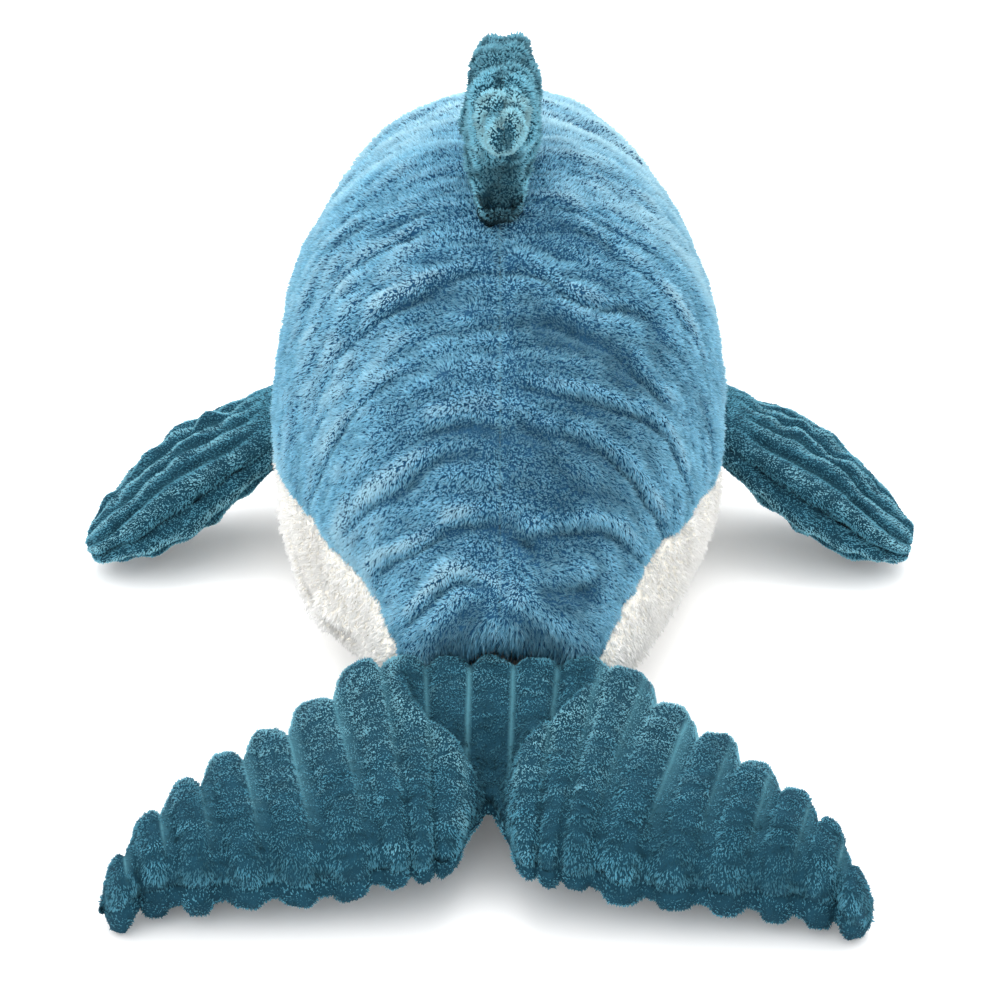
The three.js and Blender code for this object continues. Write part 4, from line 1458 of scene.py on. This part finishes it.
@dataclass
class Fin:
    """What every fin shares: two ribbed velour panels round a filling."""

    fabric: Fabric = FLUKE_VELOUR
    body: str = ""
    thickness: float = 2.4 * MM
    rib_pitch: float = 8.8 * MM
    rib_depth: float = 2.2 * MM
    rib_sharpness: float = 7.0
    rib_limit: float = 0.42
    line_width: float = 0.1
    line_offset: float = 0.0
    line_ends: tuple = (0.86 * math.pi, 0.45 * math.pi)
    line_starts: tuple = (0.3 * math.pi, 0.55 * math.pi)
    line_pile: float = 0.5
    least_line: float = 0.45
    filling_step: int = 3
    filling_gap: float = 0.5 * MM
    least_filling: float = 3.4 * MM
    edge_dent: float = 1.0 * MM
    edge_reaches: tuple = (0.22, 0.16)
    edge_limit: float = 0.25
    panel_gap: float = 0.06 * MM
    softness: float = 0.35 * MM
    root_rows: int = 8
    hidden_rows: int = 0
    pressed_pile: float = 0.2
    pressed_depth: float = 1.5 * MM
    floor_gap: float = 0.25 * MM
    second_cuts: Cuts = Cuts()

    def blade(self) -> Blade:
        """Returns the fin's stations."""
        raise NotImplementedError

    def across(self) -> Array:
        """Returns the angles of the columns, from 0 to pi, in one row or one for each station."""
        raise NotImplementedError

    def ribs(self) -> Array:
        """Returns where each point lies across the ribs, counted from a valley."""
        raise NotImplementedError

    def shown(self) -> Array:
        """Returns how far the ribs have risen at each station."""
        raise NotImplementedError

    def place(self, points: Array) -> Array:
        """Returns the points moved from the fin's own frame into the toy's."""
        return points

    def nap(self, points: Array) -> Array:
        """Returns the direction in which the pile lies."""
        return unit(np.gradient(points, axis=0))

    def brushed(self, angle: Array) -> Number:
        """Returns how much paler or darker the pile is painted at each point, for light and shade."""
        return 0.0

    def handling(self, points: Array, angle: Array, sign: int) -> tuple[Number, Number]:
        """Returns how far each point is pushed in, and how much paler or darker the pile is painted for
        light and shade.
        """
        return 0.0, self.brushed(angle)

    def core_dent(self) -> Number:
        """Returns how much further in the filling keeps at each point."""
        return 0.0

    def filled(self, blade: Blade) -> Array:
        """Returns which stations have room for the filling."""
        return np.minimum(np.minimum(blade.ahead, blade.behind), blade.thick) > self.least_filling

    def dents(self, blade: Blade, angle: Array, ribs: Array) -> Array:
        """Works out how far the ribs' valleys and the seamed edges lie in.

        Args:
            blade: the fin's stations.
            angle: the columns' angles.
            ribs: where each point lies across the ribs.

        Returns:
            The depth at each point.
        """
        limit = blade.thick[:, None]
        sharp = np.abs(np.cos(np.pi * ribs)) ** self.rib_sharpness
        valley = self.rib_depth * sharp * self.shown()[:, None]
        front, rear = self.edge_reaches
        edge = self.edge_dent * (bump(angle, 0, front) + bump(angle, np.pi, rear))
        return np.minimum(valley, limit * self.rib_limit) + np.minimum(edge, limit * self.edge_limit)

    def lines(self, angle: Array, ribs: Array, sign: int) -> Array:
        """Works out where the backing shows as a pale line along a valley.

        Args:
            angle: the columns' angles.
            ribs: where each point lies across the ribs.
            sign: the side of the fin's thickness that the panel lies on.

        Returns:
            The lines, from 0 to 1.
        """
        strengths = np.random.default_rng(51 + sign).uniform(self.least_line, 1.0, 64)
        marked = strengths[np.round(ribs).astype(int) % 64]
        off = np.abs((ribs + self.line_offset + 0.5) % 1 - 0.5)
        lines = smoothstep(off, self.line_width, 0.0) * self.shown()[:, None] * marked
        lines = lines * smoothstep(angle, *self.line_ends)
        return lines * lerp(0.4, 1.0, smoothstep(angle, *self.line_starts))

    def panel(self, sign: int) -> tuple[Cloth, Array, Array]:
        """Shapes one panel of the fin.

        Args:
            sign: the side of the fin's thickness that it lies on.

        Returns:
            The cloth, the points of its inner face, and the filling's points under it.
        """
        blade, filled = self.blade(), self.filled(self.blade())
        angle = np.broadcast_to(self.across(), (len(blade.thick), self.across().shape[-1]))
        ribs = np.broadcast_to(self.ribs(), angle.shape)
        lines = self.lines(angle, ribs, sign)
        pushed, tone = self.handling(self.place(blade.points(sign * angle, 0.0, 0.0)), angle, sign)
        dent = self.dents(blade, angle, ribs) + pushed
        gap = blade.normal[:, None, :] * sign * self.panel_gap
        outer = self.place(blade.points(sign * angle, 0.0, dent) + gap)
        inner = blade.points(sign * angle, self.thickness, 0.8 * dent)
        inner = self.place(np.where(filled[:, None, None], inner, blade.centre[:, None, :]) + gap)
        core_dent = np.minimum(0.95 * dent + self.core_dent(), blade.thick[:, None])
        core = blade.points(sign * angle, self.thickness + self.filling_gap, core_dent)
        core = self.place(core[filled][::self.filling_step])
        middle = self.place(np.broadcast_to(blade.centre[:, None, :], outer.shape).copy())
        soft = Waves(41 + sign, 7 * MM, 22 * MM).at(outer) * self.softness * self.shown()[:, None]
        outer = outer + unit(outer - middle) * soft[..., None]
        outer[..., 2] = np.maximum(outer[..., 2], self.floor_gap)
        lying = self.pressed_pile + outer[..., 2] / self.pressed_depth
        pile = np.minimum(1.0 - self.line_pile * lines, lying)
        pile[:self.hidden_rows] = 0.0
        return Cloth.of(outer, self.nap(outer), pile=pile, valley=lines, tone=tone), inner, core

    def build(self, tree: PileTree, name: str, words: tuple[str, str], cuts: Cuts) -> list[Piece]:
        """Builds both panels with their pile, and the filling.

        Args:
            name: what the fin's nodes start with.
            words: what its two panels are called.
            cuts: how the first panel's pile is parted.

        Returns:
            The pieces.
        """
        made, cores = [], []
        for word, sign, parted in ((words[0], 1, cuts), (words[1], -1, self.second_cuts)):
            cloth, inner, core = self.panel(sign)
            cores.append(core)
            made += sew(f"{name}_{word}", cloth, inner, self.fabric, self.body, tree, parted)
        rings = np.concatenate([cores[0], cores[1][:, -2:0:-1]], 1)
        made.append(stuffing(f"{name}_stuffing", rings, self.body, f"{name}_filling"))
        return made


@dataclass
class Flukes(Fin):
    """The two tail flukes, sewn from one upper and one lower panel. Sizes of the fold are in mm."""

    fabric: Fabric = FLUKE_VELOUR
    body: str = "flukes"
    hinge_y: float = -100 * MM
    hinge_z: float = 19.5 * MM
    root_radius: float = 13.3 * MM
    root_half_length: float = 28 * MM
    half_span: float = 84 * MM
    spread: float = 0.18
    length: float = 68 * MM
    sweep: float = 1.15
    inner_rise: float = 12 * MM
    inner_reach: float = 18 * MM
    notch_depth: float = 20 * MM
    notch_half_width: float = 5 * MM
    tip_rise: float = 5 * MM
    tip_rise_power: float = 6
    taper_power: float = 4.5
    taper_round: float = 0.42
    rear_drop: float = 3 * MM
    lean: float = 14
    lean_reach: float = 42 * MM
    pinch_depth: float = 5 * MM
    pinch_half_width: float = 11 * MM
    floor_clearance: float = 0.4 * MM
    settle_length: float = 18 * MM
    rows_per_rib: int = 9
    blockiness: float = 0.95
    shift: float = -1.5 * MM
    twist: float = -1.5
    corner: float = 0.07
    tip_half: float = 5 * MM
    roundness: float = 2.0
    rear_roundness: float = 2.5
    front_columns: int = 9
    rear_columns: int = 40
    filling_step: int = 1
    line_offset: float = 0.055
    second_cuts: Cuts = Cuts(densities=(0.5,))
    fold_front: tuple = (22.0, 21.0)
    fold_rear: tuple = (4.5, 1.5)
    fold_bow: tuple = (1.5, 1.0)
    fold_depths: tuple = (2.4, 5.0)
    lip_height: float = 1.8
    # Light painted into the velour: painted shade in the fold between the lobes and along the rear, painted
    # highlights on the lobes and on the lip, and random mottle.
    fold_tone: float = -0.95
    lobe_tone: float = 0.75
    lip_tone: float = 0.4
    rear_tone: float = -0.45
    mottle: float = 0.22

    @property
    def rib_count(self) -> int:
        """How many ribs lie across the span."""
        return round(2 * self.half_span / self.rib_pitch)

    def spans(self, ribs: Array) -> Array:
        """Returns the places across the span that lie so many ribs from the left tip."""
        share = 2 * ribs / self.rib_count - 1
        return self.half_span * share * (1 + self.spread * (1 - share**2))

    def ribs(self) -> Array:
        """Returns where each station lies across the ribs."""
        even = np.linspace(0, self.rib_count, self.rib_count * self.rows_per_rib + 1)[:, None]
        return even - 0.5 * np.sin(2 * np.pi * even) / (2 * np.pi)

    def across(self) -> Array:
        """Returns the columns, most of them behind the thick front edge."""
        return column_angles(
            self.front_columns, self.rear_columns, self.roundness, self.rear_roundness)[None, :]

    def shown(self) -> Array:
        """Returns 1: the ribs run right across."""
        return np.ones(len(self.ribs()))

    def blade(self) -> Blade:
        """Shapes the stations across the span, each rib's end squared off a little.

        Returns:
            The stations.
        """
        ribs = self.ribs()[:, 0]
        x = self.spans(ribs)
        out = np.abs(x)
        squared = np.abs(lerp(x, self.spans(np.floor(ribs - 1e-9) + 0.5), self.blockiness))
        squared = np.minimum(squared, self.half_span)
        beyond = np.clip((out - self.root_half_length) / (self.half_span - self.root_half_length), 0, 1)
        taper = np.maximum(0, 1 - beyond**self.taper_power) ** self.taper_round
        closed = closing(np.clip(1 - (1 - beyond) / self.corner, 0, 1), 2)
        thick = self.root_radius * taper
        settled = smoothstep(out - self.root_half_length, 0, self.settle_length)
        centre_y = self.hinge_y - self.sweep * np.maximum(0, squared - self.root_half_length)
        rise = self.inner_rise * np.exp(-out / self.inner_reach)
        notch = self.notch_depth * bump(out, 0, self.notch_half_width)
        rear_y = self.hinge_y - self.length + rise + notch + self.tip_rise * beyond**self.tip_rise_power
        centre_z = lerp(self.hinge_z, np.maximum(thick, self.tip_half) + self.floor_clearance, settled)
        fall = self.rear_drop * (1 - settled) / np.maximum(centre_y - rear_y, 1 * MM)
        lean = -np.sign(x) * math.radians(self.lean) * smoothstep(out, 0, self.lean_reach)
        chord = unit(np.stack([-np.sin(lean), np.cos(lean), fall], -1))
        spanwise = np.stack([np.cos(lean), np.sin(lean), 0 * x], -1)
        return Blade(
            centre=np.stack([x, centre_y, centre_z], -1),
            chord=chord,
            normal=np.cross(spanwise, chord),
            ahead=thick,
            behind=lerp(thick, np.maximum(centre_y - rear_y, thick), closed),
            thick=thick,
            roundness=np.full_like(x, self.roundness),
            rear_roundness=np.full_like(x, self.rear_roundness),
            pinch=self.pinch_depth * bump(x, 0, self.pinch_half_width),
        )

    def place(self, points: Array) -> Array:
        """Returns the points turned a little about the hinge's middle, as the toy lies."""
        x, y = turn_pair(points[..., 0], points[..., 1] - self.hinge_y, self.twist)
        return np.stack([x + self.shift, y + self.hinge_y, points[..., 2]], -1)

    def nap(self, points: Array) -> Array:
        """Returns the direction along the ribs towards the rear."""
        return unit(np.gradient(points, axis=1))

    def handling(self, points: Array, angle: Array, sign: int) -> tuple[Number, Number]:
        """Works out the folded middle between the lobes, and the light and shade painted into the velour.

        Args:
            points: the points in their place.
            angle: the columns' angles.
            sign: the side of the fin's thickness that the panel lies on.

        Returns:
            How far each point is pushed in, and how much paler or darker the pile is painted.
        """
        x, y = points[..., 0] / MM, points[..., 1] / MM
        back = smoothstep(y, -104.0, -140.0)
        left, right = (
            lerp(*ends, back**bow) for *ends, bow in zip(self.fold_front, self.fold_rear, self.fold_bow))
        inside = np.abs(x) - np.where(x < 0, left, right)
        upper = 1.0 if sign > 0 else 0.0
        shown = upper * smoothstep(y, -98.0, -110.0) * smoothstep(y, -166.0, -150.0)
        deep = lerp(*self.fold_depths, smoothstep(y, -108.0, -132.0))
        pushed = (deep * smoothstep(inside, 0.8, -1.4) - self.lip_height * bump(inside, 2.6, 2.2)) * shown
        pushed = pushed * smoothstep(angle, math.pi, 0.85 * math.pi)
        # Painted shade in the fold between the lobes and along the rear edge, painted highlights on the
        # lobes and the lip, and random mottle.
        within = smoothstep(inside, 0.6, -1.6) * smoothstep(y, -108.0, -128.0)
        lobe = smoothstep(inside, 0.0, 4.0) * upper
        lit = self.lip_tone * bump(inside, 3.4, 3.6) + self.lobe_tone * bump(y, -114.0, 21.0)
        tone = self.fold_tone * (bump(inside, -1.4, 1.7) + within) * shown + lobe * lit
        tone = tone + self.rear_tone * smoothstep(y, -140.0, -164.0)
        tone = tone + self.mottle * Waves(61, 5 * MM, 14 * MM, (0.6, 2, 1)).at(points)
        return pushed * MM, np.clip(tone, -0.9, 0.9)


@dataclass
class Flipper(Fin):
    """One flipper, which points outwards from its hinge line and is turned into place."""

    fabric: Fabric = FLIPPER_VELOUR
    side: Side = Side.RIGHT
    hinge: tuple = (63.621 * MM, 42.125 * MM, 34.003 * MM)
    droop: float = 27.5
    length: float = 59.5 * MM
    root_half_chord: float = 20 * MM
    root_radius: float = 8.2 * MM
    chord_swell: float = 6.5 * MM
    thickness_swell: float = 3.6 * MM
    sweep: float = 25 * MM
    sweep_power: float = 1.3
    blunt: float = 7
    roundness: float = 2.3
    rib_fade: float = 12 * MM
    rows: int = 60
    columns: int = 25
    meander: float = 0.21
    rib_depth: float = 2.6 * MM
    softness: float = 0.8 * MM
    hidden_rows: int = 6

    def shares(self) -> Array:
        """Returns the stations of the blade as shares of its length, closer towards the tip."""
        return np.linspace(0, 1, self.rows + 1) ** 0.8

    def even(self) -> Array:
        """Returns the columns as if the ribs ran straight."""
        return column_angles(self.columns, self.columns, self.roundness, self.roundness)

    def across(self) -> Array:
        """Spreads the columns, which follow the ribs as those wander along the flipper.

        Returns:
            The columns' angles, a row for each station.
        """
        chord = signed_power(np.cos(self.even()), 2 / self.roundness)[None, :]
        share = np.concatenate([np.zeros(self.root_rows), self.shares()])[:, None]
        moved = chord + self.meander * (1 - chord**2) * share * np.sin(7.5 * share + 2.5 * chord + 0.8)
        return np.arccos(np.clip(signed_power(moved, self.roundness / 2), -1, 1))

    def ribs(self) -> Array:
        """Lays the lengthwise ribs out evenly round the section.

        Returns:
            Where each column lies across them, in one row.
        """
        angle, power = self.even(), 2 / self.roundness
        chord = (self.root_half_chord + 0.6 * self.chord_swell) * signed_power(np.cos(angle), power)
        rise = (self.root_radius + 0.5 * self.thickness_swell) * np.abs(np.sin(angle)) ** power
        way = np.concatenate([[0.0], np.cumsum(np.hypot(np.diff(chord), np.diff(rise)))])
        return way[None, :] / way[-1] * round(way[-1] / self.rib_pitch)

    def blade(self) -> Blade:
        """Shapes the rounded root and the blade.

        Returns:
            The stations.
        """
        offset, spread, swollen = root_swell(
            self.root_rows, self.root_radius, self.root_half_chord, self.roundness)
        share = self.shares()
        swell, closed = np.sin(np.pi * share), closing(share, self.blunt)
        chord = (self.root_half_chord + self.chord_swell * swell) * closed
        thick = (self.root_radius + self.thickness_swell * swell**2) * closed
        x = np.concatenate([offset, self.length * share])
        y = np.concatenate([0 * offset, -self.sweep * share**self.sweep_power])
        return straight_blade(
            np.stack([x, y, 0 * x], -1), (0, 1, 0), (0, 0, 1), np.concatenate([spread, chord]),
            np.concatenate([swollen, thick]), self.roundness)

    def shown(self) -> Array:
        """Returns how far the ribs have risen along the blade."""
        risen = smoothstep(self.shares() * self.length, 0, self.rib_fade)
        return np.concatenate([np.zeros(self.root_rows), risen])

    def brushed(self, angle: Array) -> Array:
        """Works out the painted highlights on the ridges and the rims, and the painted shade between the
        ridges.

        Args:
            angle: the columns' angles.

        Returns:
            How much paler or darker the pile is painted.
        """
        # Painted highlights on the rims and ridges, painted shade between the ridges.
        rim = bump(angle, np.pi, 0.55) + 0.6 * bump(angle, 0, 0.5)
        phase = self.ribs() % 1
        ridges = 0.75 * bump(phase, 0.4, 0.2) - 0.85 * (1 - bump(phase, 0.5, 0.42))
        return 0.3 * rim + ridges * self.shown()[:, None]

    def place(self, points: Array) -> Array:
        """Returns the points turned down by the droop and moved to the hinge."""
        x, z = turn_pair(points[..., 0], points[..., 2], -self.droop)
        return (np.stack([x, points[..., 1], z], -1) + self.hinge) * (self.side.value, 1, 1)


@dataclass
class DorsalFin(Fin):
    """The dorsal fin, whose ribs lie round it like rings and whose tip curls back."""

    fabric: Fabric = DORSAL_VELOUR
    body: str = "dorsal_fin"
    hinge_y: float = 25 * MM
    hinge_z: float = 117.818 * MM
    slope: float = 9.0
    half_chord: float = 31 * MM
    root_radius: float = 6.4 * MM
    reach_back: float = 49 * MM
    reach_up: float = 27.8 * MM
    thickness_swell: float = 3.1 * MM
    tip_half_chord: float = 8.5 * MM
    rib_depth: float = 1.6 * MM
    softness: float = 0.6 * MM
    shift: float = 1 * MM
    blunt: float = 4
    root_roundness: float = 3.2
    ring_count: int = 7
    rows_per_ring: int = 10
    dimple: float = 3.0 * MM
    filling_step: int = 2
    hidden_rows: int = 6
    columns: int = 20
    column_roundness: float = 2.4
    inner_core_dent: float = 9 * MM

    def shares(self) -> Array:
        """Returns the blade's stations as shares of its length."""
        return np.linspace(0, 1, self.ring_count * self.rows_per_ring + 1)

    def along(self, at_root: Number, on_blade: Array) -> Array:
        """Returns values for the root's stations and then for the blade's."""
        return np.concatenate([np.zeros(self.root_rows) + at_root, on_blade])

    def across(self) -> Array:
        """Returns the columns, evenly over the chord."""
        count, power = self.columns, self.column_roundness
        return column_angles(count, count, power, power)[None, :]

    def ribs(self) -> Array:
        """Returns where each station lies along the rings."""
        return self.along(0, self.shares() * self.ring_count)[:, None]

    def blade(self) -> Blade:
        """Shapes the rounded root and the curling blade.

        Returns:
            The stations.
        """
        offset, spread, swollen = root_swell(
            self.root_rows, self.root_radius, self.half_chord, self.root_roundness)
        share = self.shares()
        turn = share * np.pi / 2
        closed = closing(share, self.blunt)
        half = lerp(self.half_chord, self.tip_half_chord, smoothstep(share, 0, 0.9)) * closed
        thick = (self.root_radius + self.thickness_swell * np.sin(np.pi * share) ** 2) * closed
        y = self.along(0, -self.reach_back * (1 - np.cos(turn)))
        z = np.concatenate([offset, self.reach_up * np.sin(turn)])
        heading_y = self.along(0, -self.reach_back * np.sin(turn))
        heading_z = self.along(1, self.reach_up * np.cos(turn))
        heading = unit(np.stack([0 * y, heading_y, heading_z], -1))
        dimpled = heading * (self.dimple * smoothstep(self.along(0, share), 0.93, 1.0))[:, None]
        half = np.concatenate([spread, half])
        roundness = self.along(self.root_roundness, lerp(self.root_roundness, 2.0, share))
        return Blade(
            centre=np.stack([0 * y, y, z], -1) - dimpled,
            chord=np.cross(heading, np.array([1.0, 0, 0])),
            normal=np.outer(np.ones_like(y), [1.0, 0.0, 0.0]),
            ahead=half,
            behind=half,
            thick=np.concatenate([swollen, thick]),
            roundness=roundness,
            rear_roundness=roundness,
            pinch=0 * y,
        )

    def core_dent(self) -> Array:
        """Works out how much further in the filling keeps inside the curl, where stations cross.

        Returns:
            The depth at each point.
        """
        share = self.along(0, self.shares())[:, None]
        inner = smoothstep(self.across(), 0.5 * np.pi, np.pi)
        return self.inner_core_dent * inner * smoothstep(share, 0.75, 0.3)

    def shown(self) -> Array:
        """Returns how far the rings have risen along the blade."""
        return self.along(0, smoothstep(self.shares(), 0.05, 0.2))

    def brushed(self, angle: Array) -> Array:
        """Works out the painted light: painted shade on the rear edge with pale strips beside it, on the
        stem and in the dimple at the tip, and painted highlights on the rings' crests with painted shade
        between them.

        Args:
            angle: the columns' angles.

        Returns:
            How much paler the pile is.
        """
        share = self.along(0, self.shares())[:, None]
        # Painted shade on the stem, the rear edge and the dimple; painted highlights on the rings' crests.
        stem = smoothstep(share, 0.75, 0.55)
        strips = 0.6 * bump(angle, np.pi - 0.75, 0.2) - 0.6 * bump(angle, np.pi, 0.5)
        rings = 0.35 - 0.7 * np.abs(np.cos(np.pi * self.ribs())) ** 5
        return strips * stem - 0.5 * stem - 0.8 * smoothstep(share, 0.95, 1.0) + rings * (1 - stem)

    def place(self, points: Array) -> Array:
        """Tilts points with the slope of the back and moves them onto it.

        Args:
            points: the points in the fin's own frame.

        Returns:
            The points in their place.
        """
        along, up = turn_pair(points[..., 1], points[..., 2], self.slope)
        x = points[..., 0] + self.shift * smoothstep(up, 0.0, 20 * MM)
        return np.stack([x, along + self.hinge_y, up + self.hinge_z], -1)


# Head


@dataclass
class Beak:
    """The short beak, an upper blue and a lower white panel round a filling."""

    front_y: float = 212 * MM
    seat_depth: float = 14 * MM
    length: float = 46 * MM
    half_width: float = 18 * MM
    half_height: float = 12.5 * MM
    nose_z: float = 46 * MM
    drop: float = 7 * MM
    blunt: float = 3.2
    thickness: float = 2.4 * MM
    filling_gap: float = 0.6 * MM
    rows: int = 40
    columns: int = 17
    mouth_dent: float = 1.1 * MM
    mouth_reach: float = 0.2
    pile: float = 0.6
    upper_tone: float = 0.35

    def blade(self, start: float = 0.0) -> Blade:
        """Shapes the stations towards the tip.

        Args:
            start: the share of the length that they start from.

        Returns:
            The stations.
        """
        share = np.linspace(start, 1, self.rows)
        closed = closing(share, self.blunt)
        y = self.front_y - self.seat_depth + self.length * share
        centre = np.stack([0 * share, y, self.nose_z - self.drop * share], -1)
        return straight_blade(
            centre, (1, 0, 0), (0, 0, 1), self.half_width * closed, self.half_height * closed, 2.0)

    def build(self, tree: PileTree) -> list[Piece]:
        """Builds both panels with their pile, and the filling.

        Args:
            tree: what grows the pile.

        Returns:
            The pieces.
        """
        made = []
        blade = self.blade()
        angle = column_angles(self.columns, self.columns, 2.0, 2.0)[None, :]
        mouth = self.mouth_dent * (bump(angle, 0, self.mouth_reach) + bump(angle, np.pi, self.mouth_reach))
        dent = np.minimum(mouth, blade.thick[:, None] * 0.3)
        for word, sign, fabric, tone in (
            ("upper", 1, BACK_FUR, self.upper_tone), ("lower", -1, BELLY_FUR, 0.0)
        ):
            outer = blade.points(sign * angle, 0.0, dent)
            inner = blade.points(sign * angle, self.thickness, 0.0)
            cloth = Cloth.of(outer, np.array([0.0, -1.0, 0.0]), pile=self.pile, tone=tone)
            made += sew(f"beak_{word}", cloth, inner, fabric, "body", tree, Cuts())
        turns = np.linspace(-np.pi, np.pi, 33)[None, :-1]
        rings = self.blade(0.3).points(turns, self.thickness + self.filling_gap, 0.0)[:-4]
        made.append(stuffing("beak_stuffing", rings, "body", "beak_filling"))
        return made


@dataclass
class Eye:
    """A safety eye: a glossy dome on a shank, in its place on the skin."""

    side: Side
    form: BodyForm = field(default_factory=BodyForm)
    setback: float = 40 * MM
    turn: float = 81.0
    radius: float = 4.6 * MM
    dome_height: float = 3.4 * MM
    shank_radius: float = 2 * MM
    shank_length: float = 9 * MM
    proud: float = 1.6 * MM
    facets: int = 40

    def build(self) -> Piece:
        """Builds the eye as one turned form.

        Returns:
            The piece.
        """
        arc = np.linspace(0, np.pi / 2, 12)
        dome = [(self.radius * math.cos(a), self.proud + self.dome_height * math.sin(a)) for a in arc]
        rim = [(self.radius * 0.93, self.proud - 0.5 * MM), (self.radius, self.proud - 0.2 * MM)]
        shank = [(0.0, -self.shank_length), (self.shank_radius * 0.7, -self.shank_length),
                 (self.shank_radius, 1 * MM - self.shank_length), (self.shank_radius, self.proud - 0.5 * MM)]
        profile = np.array(shank + rim + dome[:-1] + [(0.0, self.proud + self.dome_height)])
        y = np.array([[self.form.front_y - self.setback]])
        turn = np.array([[self.side.value * self.turn]])
        seat, out = self.form.point(y, turn)[0, 0], self.form.normals(y, turn)[0, 0]
        first = unit(np.cross(out, np.array([0.0, 0.0, 1.0])))
        second = np.cross(out, first)
        spin = np.linspace(0, 2 * np.pi, self.facets + 1)
        ring = np.cos(spin)[:, None] * first + np.sin(spin)[:, None] * second
        points = seat + profile[:, None, :1] * ring[None] + profile[:, None, 1:] * out
        faces = grid_faces(*points.shape[:2]).tolist()
        eye = new_object(f"eye_{self.side.word}_dome", points.reshape(-1, 3), faces)
        tidy_mesh(eye)
        return dress(eye, EYE_PLASTIC.material(), "body", "eye_plastic", f"eye_{self.side.word}")


# Stage


@dataclass
class Stage:
    """The white floor, the soft lamps and the camera of the photograph."""

    floor_half: float = 4.0
    floor_drop: float = 0.1 * MM
    floor_glow: float = 0.08
    world_light: float = 1.56
    lamp_size: float = 1.0
    lamp_target: tuple = (0.0, 0.0, 0.05)
    camera_place: tuple = (0.0, -0.597, 0.307)
    camera_pitch: float = 25.0
    camera_lens: float = 86.4
    sensor_width: float = 36.0

    def build(self) -> None:
        """Builds the floor, lamps, world and camera."""
        self.floor()
        self.lamp("top_lamp", (0.0, 0.55, 1.1), 10.0)
        self.lamp("fill_lamp", (-0.5, -1.0, 0.9), 3.0)
        self.world()
        self.camera()
        bpy.context.scene.view_settings.view_transform = "Standard"

    def floor(self) -> None:
        """Builds a wide white floor that keeps the toy's shadow."""
        half, low = self.floor_half, -self.floor_drop
        corners = np.array([(-half, -half, low), (half, -half, low), (half, half, low), (-half, half, low)])
        floor = new_object("floor", corners, [(0, 1, 2, 3)])
        material = bpy.data.materials.new("white_floor")
        material.use_nodes = True
        nodes = Nodes(material.node_tree)
        shader = material.node_tree.nodes["Principled BSDF"]
        for key, value in (("Base Color", (1, 1, 1, 1)), ("Roughness", 0.9), ("Specular IOR Level", 0.1)):
            shader.inputs[key].default_value = value
        seen = nodes.add("ShaderNodeLightPath").outputs["Is Camera Ray"]
        glow = nodes.add("ShaderNodeEmission", {"Strength": nodes.times(seen, self.floor_glow)})
        both = nodes.add("ShaderNodeAddShader", {0: shader.outputs[0], 1: glow.outputs[0]})
        nodes.feed(material.node_tree.nodes["Material Output"].inputs["Surface"], both.outputs[0])
        floor.data.materials.append(material)

    def lamp(self, name: str, place: tuple, power: float) -> None:
        """Adds a square soft lamp that looks at the toy.

        Args:
            name: the lamp's name.
            place: where it hangs.
            power: its power in watts.
        """
        data = bpy.data.lights.new(name, "AREA")
        data.size = self.lamp_size
        data.energy = power
        lamp = link_object(bpy.data.objects.new(name, data))
        lamp.location = place
        lamp.rotation_euler = (Vector(self.lamp_target) - lamp.location).to_track_quat("-Z", "Y").to_euler()

    def world(self) -> None:
        """Sets a plain light all round that the camera sees as white."""
        world = bpy.data.worlds.new("studio")
        world.use_nodes = True
        nodes = Nodes(world.node_tree)
        back = world.node_tree.nodes["Background"].inputs
        back["Color"].default_value = (1, 1, 1, 1)
        rays = nodes.add("ShaderNodeLightPath").outputs
        seen = nodes.math("MAXIMUM", rays["Is Camera Ray"], rays["Is Glossy Ray"])
        seen = nodes.math("MAXIMUM", seen, rays["Is Transmission Ray"])
        nodes.feed(back["Strength"], nodes.spread(seen, 0, 1, self.world_light, 1.0))
        bpy.context.scene.world = world

    def camera(self) -> None:
        """Adds the camera at the photograph's viewing angle."""
        data = bpy.data.cameras.new("camera")
        data.lens = self.camera_lens
        data.sensor_width = self.sensor_width
        camera = link_object(bpy.data.objects.new("camera", data))
        camera.location = self.camera_place
        camera.rotation_euler = (math.radians(90 - self.camera_pitch), 0, 0)
        bpy.context.scene.camera = camera


def main() -> None:
    """Builds every sub-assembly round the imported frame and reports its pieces."""
    logging.basicConfig(level=logging.INFO, format="%(name)s: %(message)s")
    for left in list(bpy.data.objects):
        bpy.data.objects.remove(left)
    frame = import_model()
    Stage().build()
    tree = PileTree()
    made = Body().build(tree)
    made += Flukes().build(tree, "fluke", ("upper", "lower"), Cuts(0, ("left", "right"), (0.0,), (1.0, 1.0)))
    for side in Side:
        name = f"flipper_{side.word}"
        made += Flipper(side=side, body=name).build(tree, name, ("upper", "lower"), Cuts())
    made += DorsalFin().build(tree, "dorsal_fin", ("right", "left"), Cuts())
    made += Beak().build(tree)
    for side in Side:
        made.append(Eye(side=side).build())
        washer = frame["nodes"][f"eye_washer_{side.word}"]
        washer.data.materials.clear()
        washer.data.materials.append(WASHER_PLASTIC.material())
    for piece in made:
        log.info("%s: %d faces", piece.name, len(piece.data.polygons))
    log.info("all: %d faces", sum(len(piece.data.polygons) for piece in made))


if __name__ == "__main__":
    main()
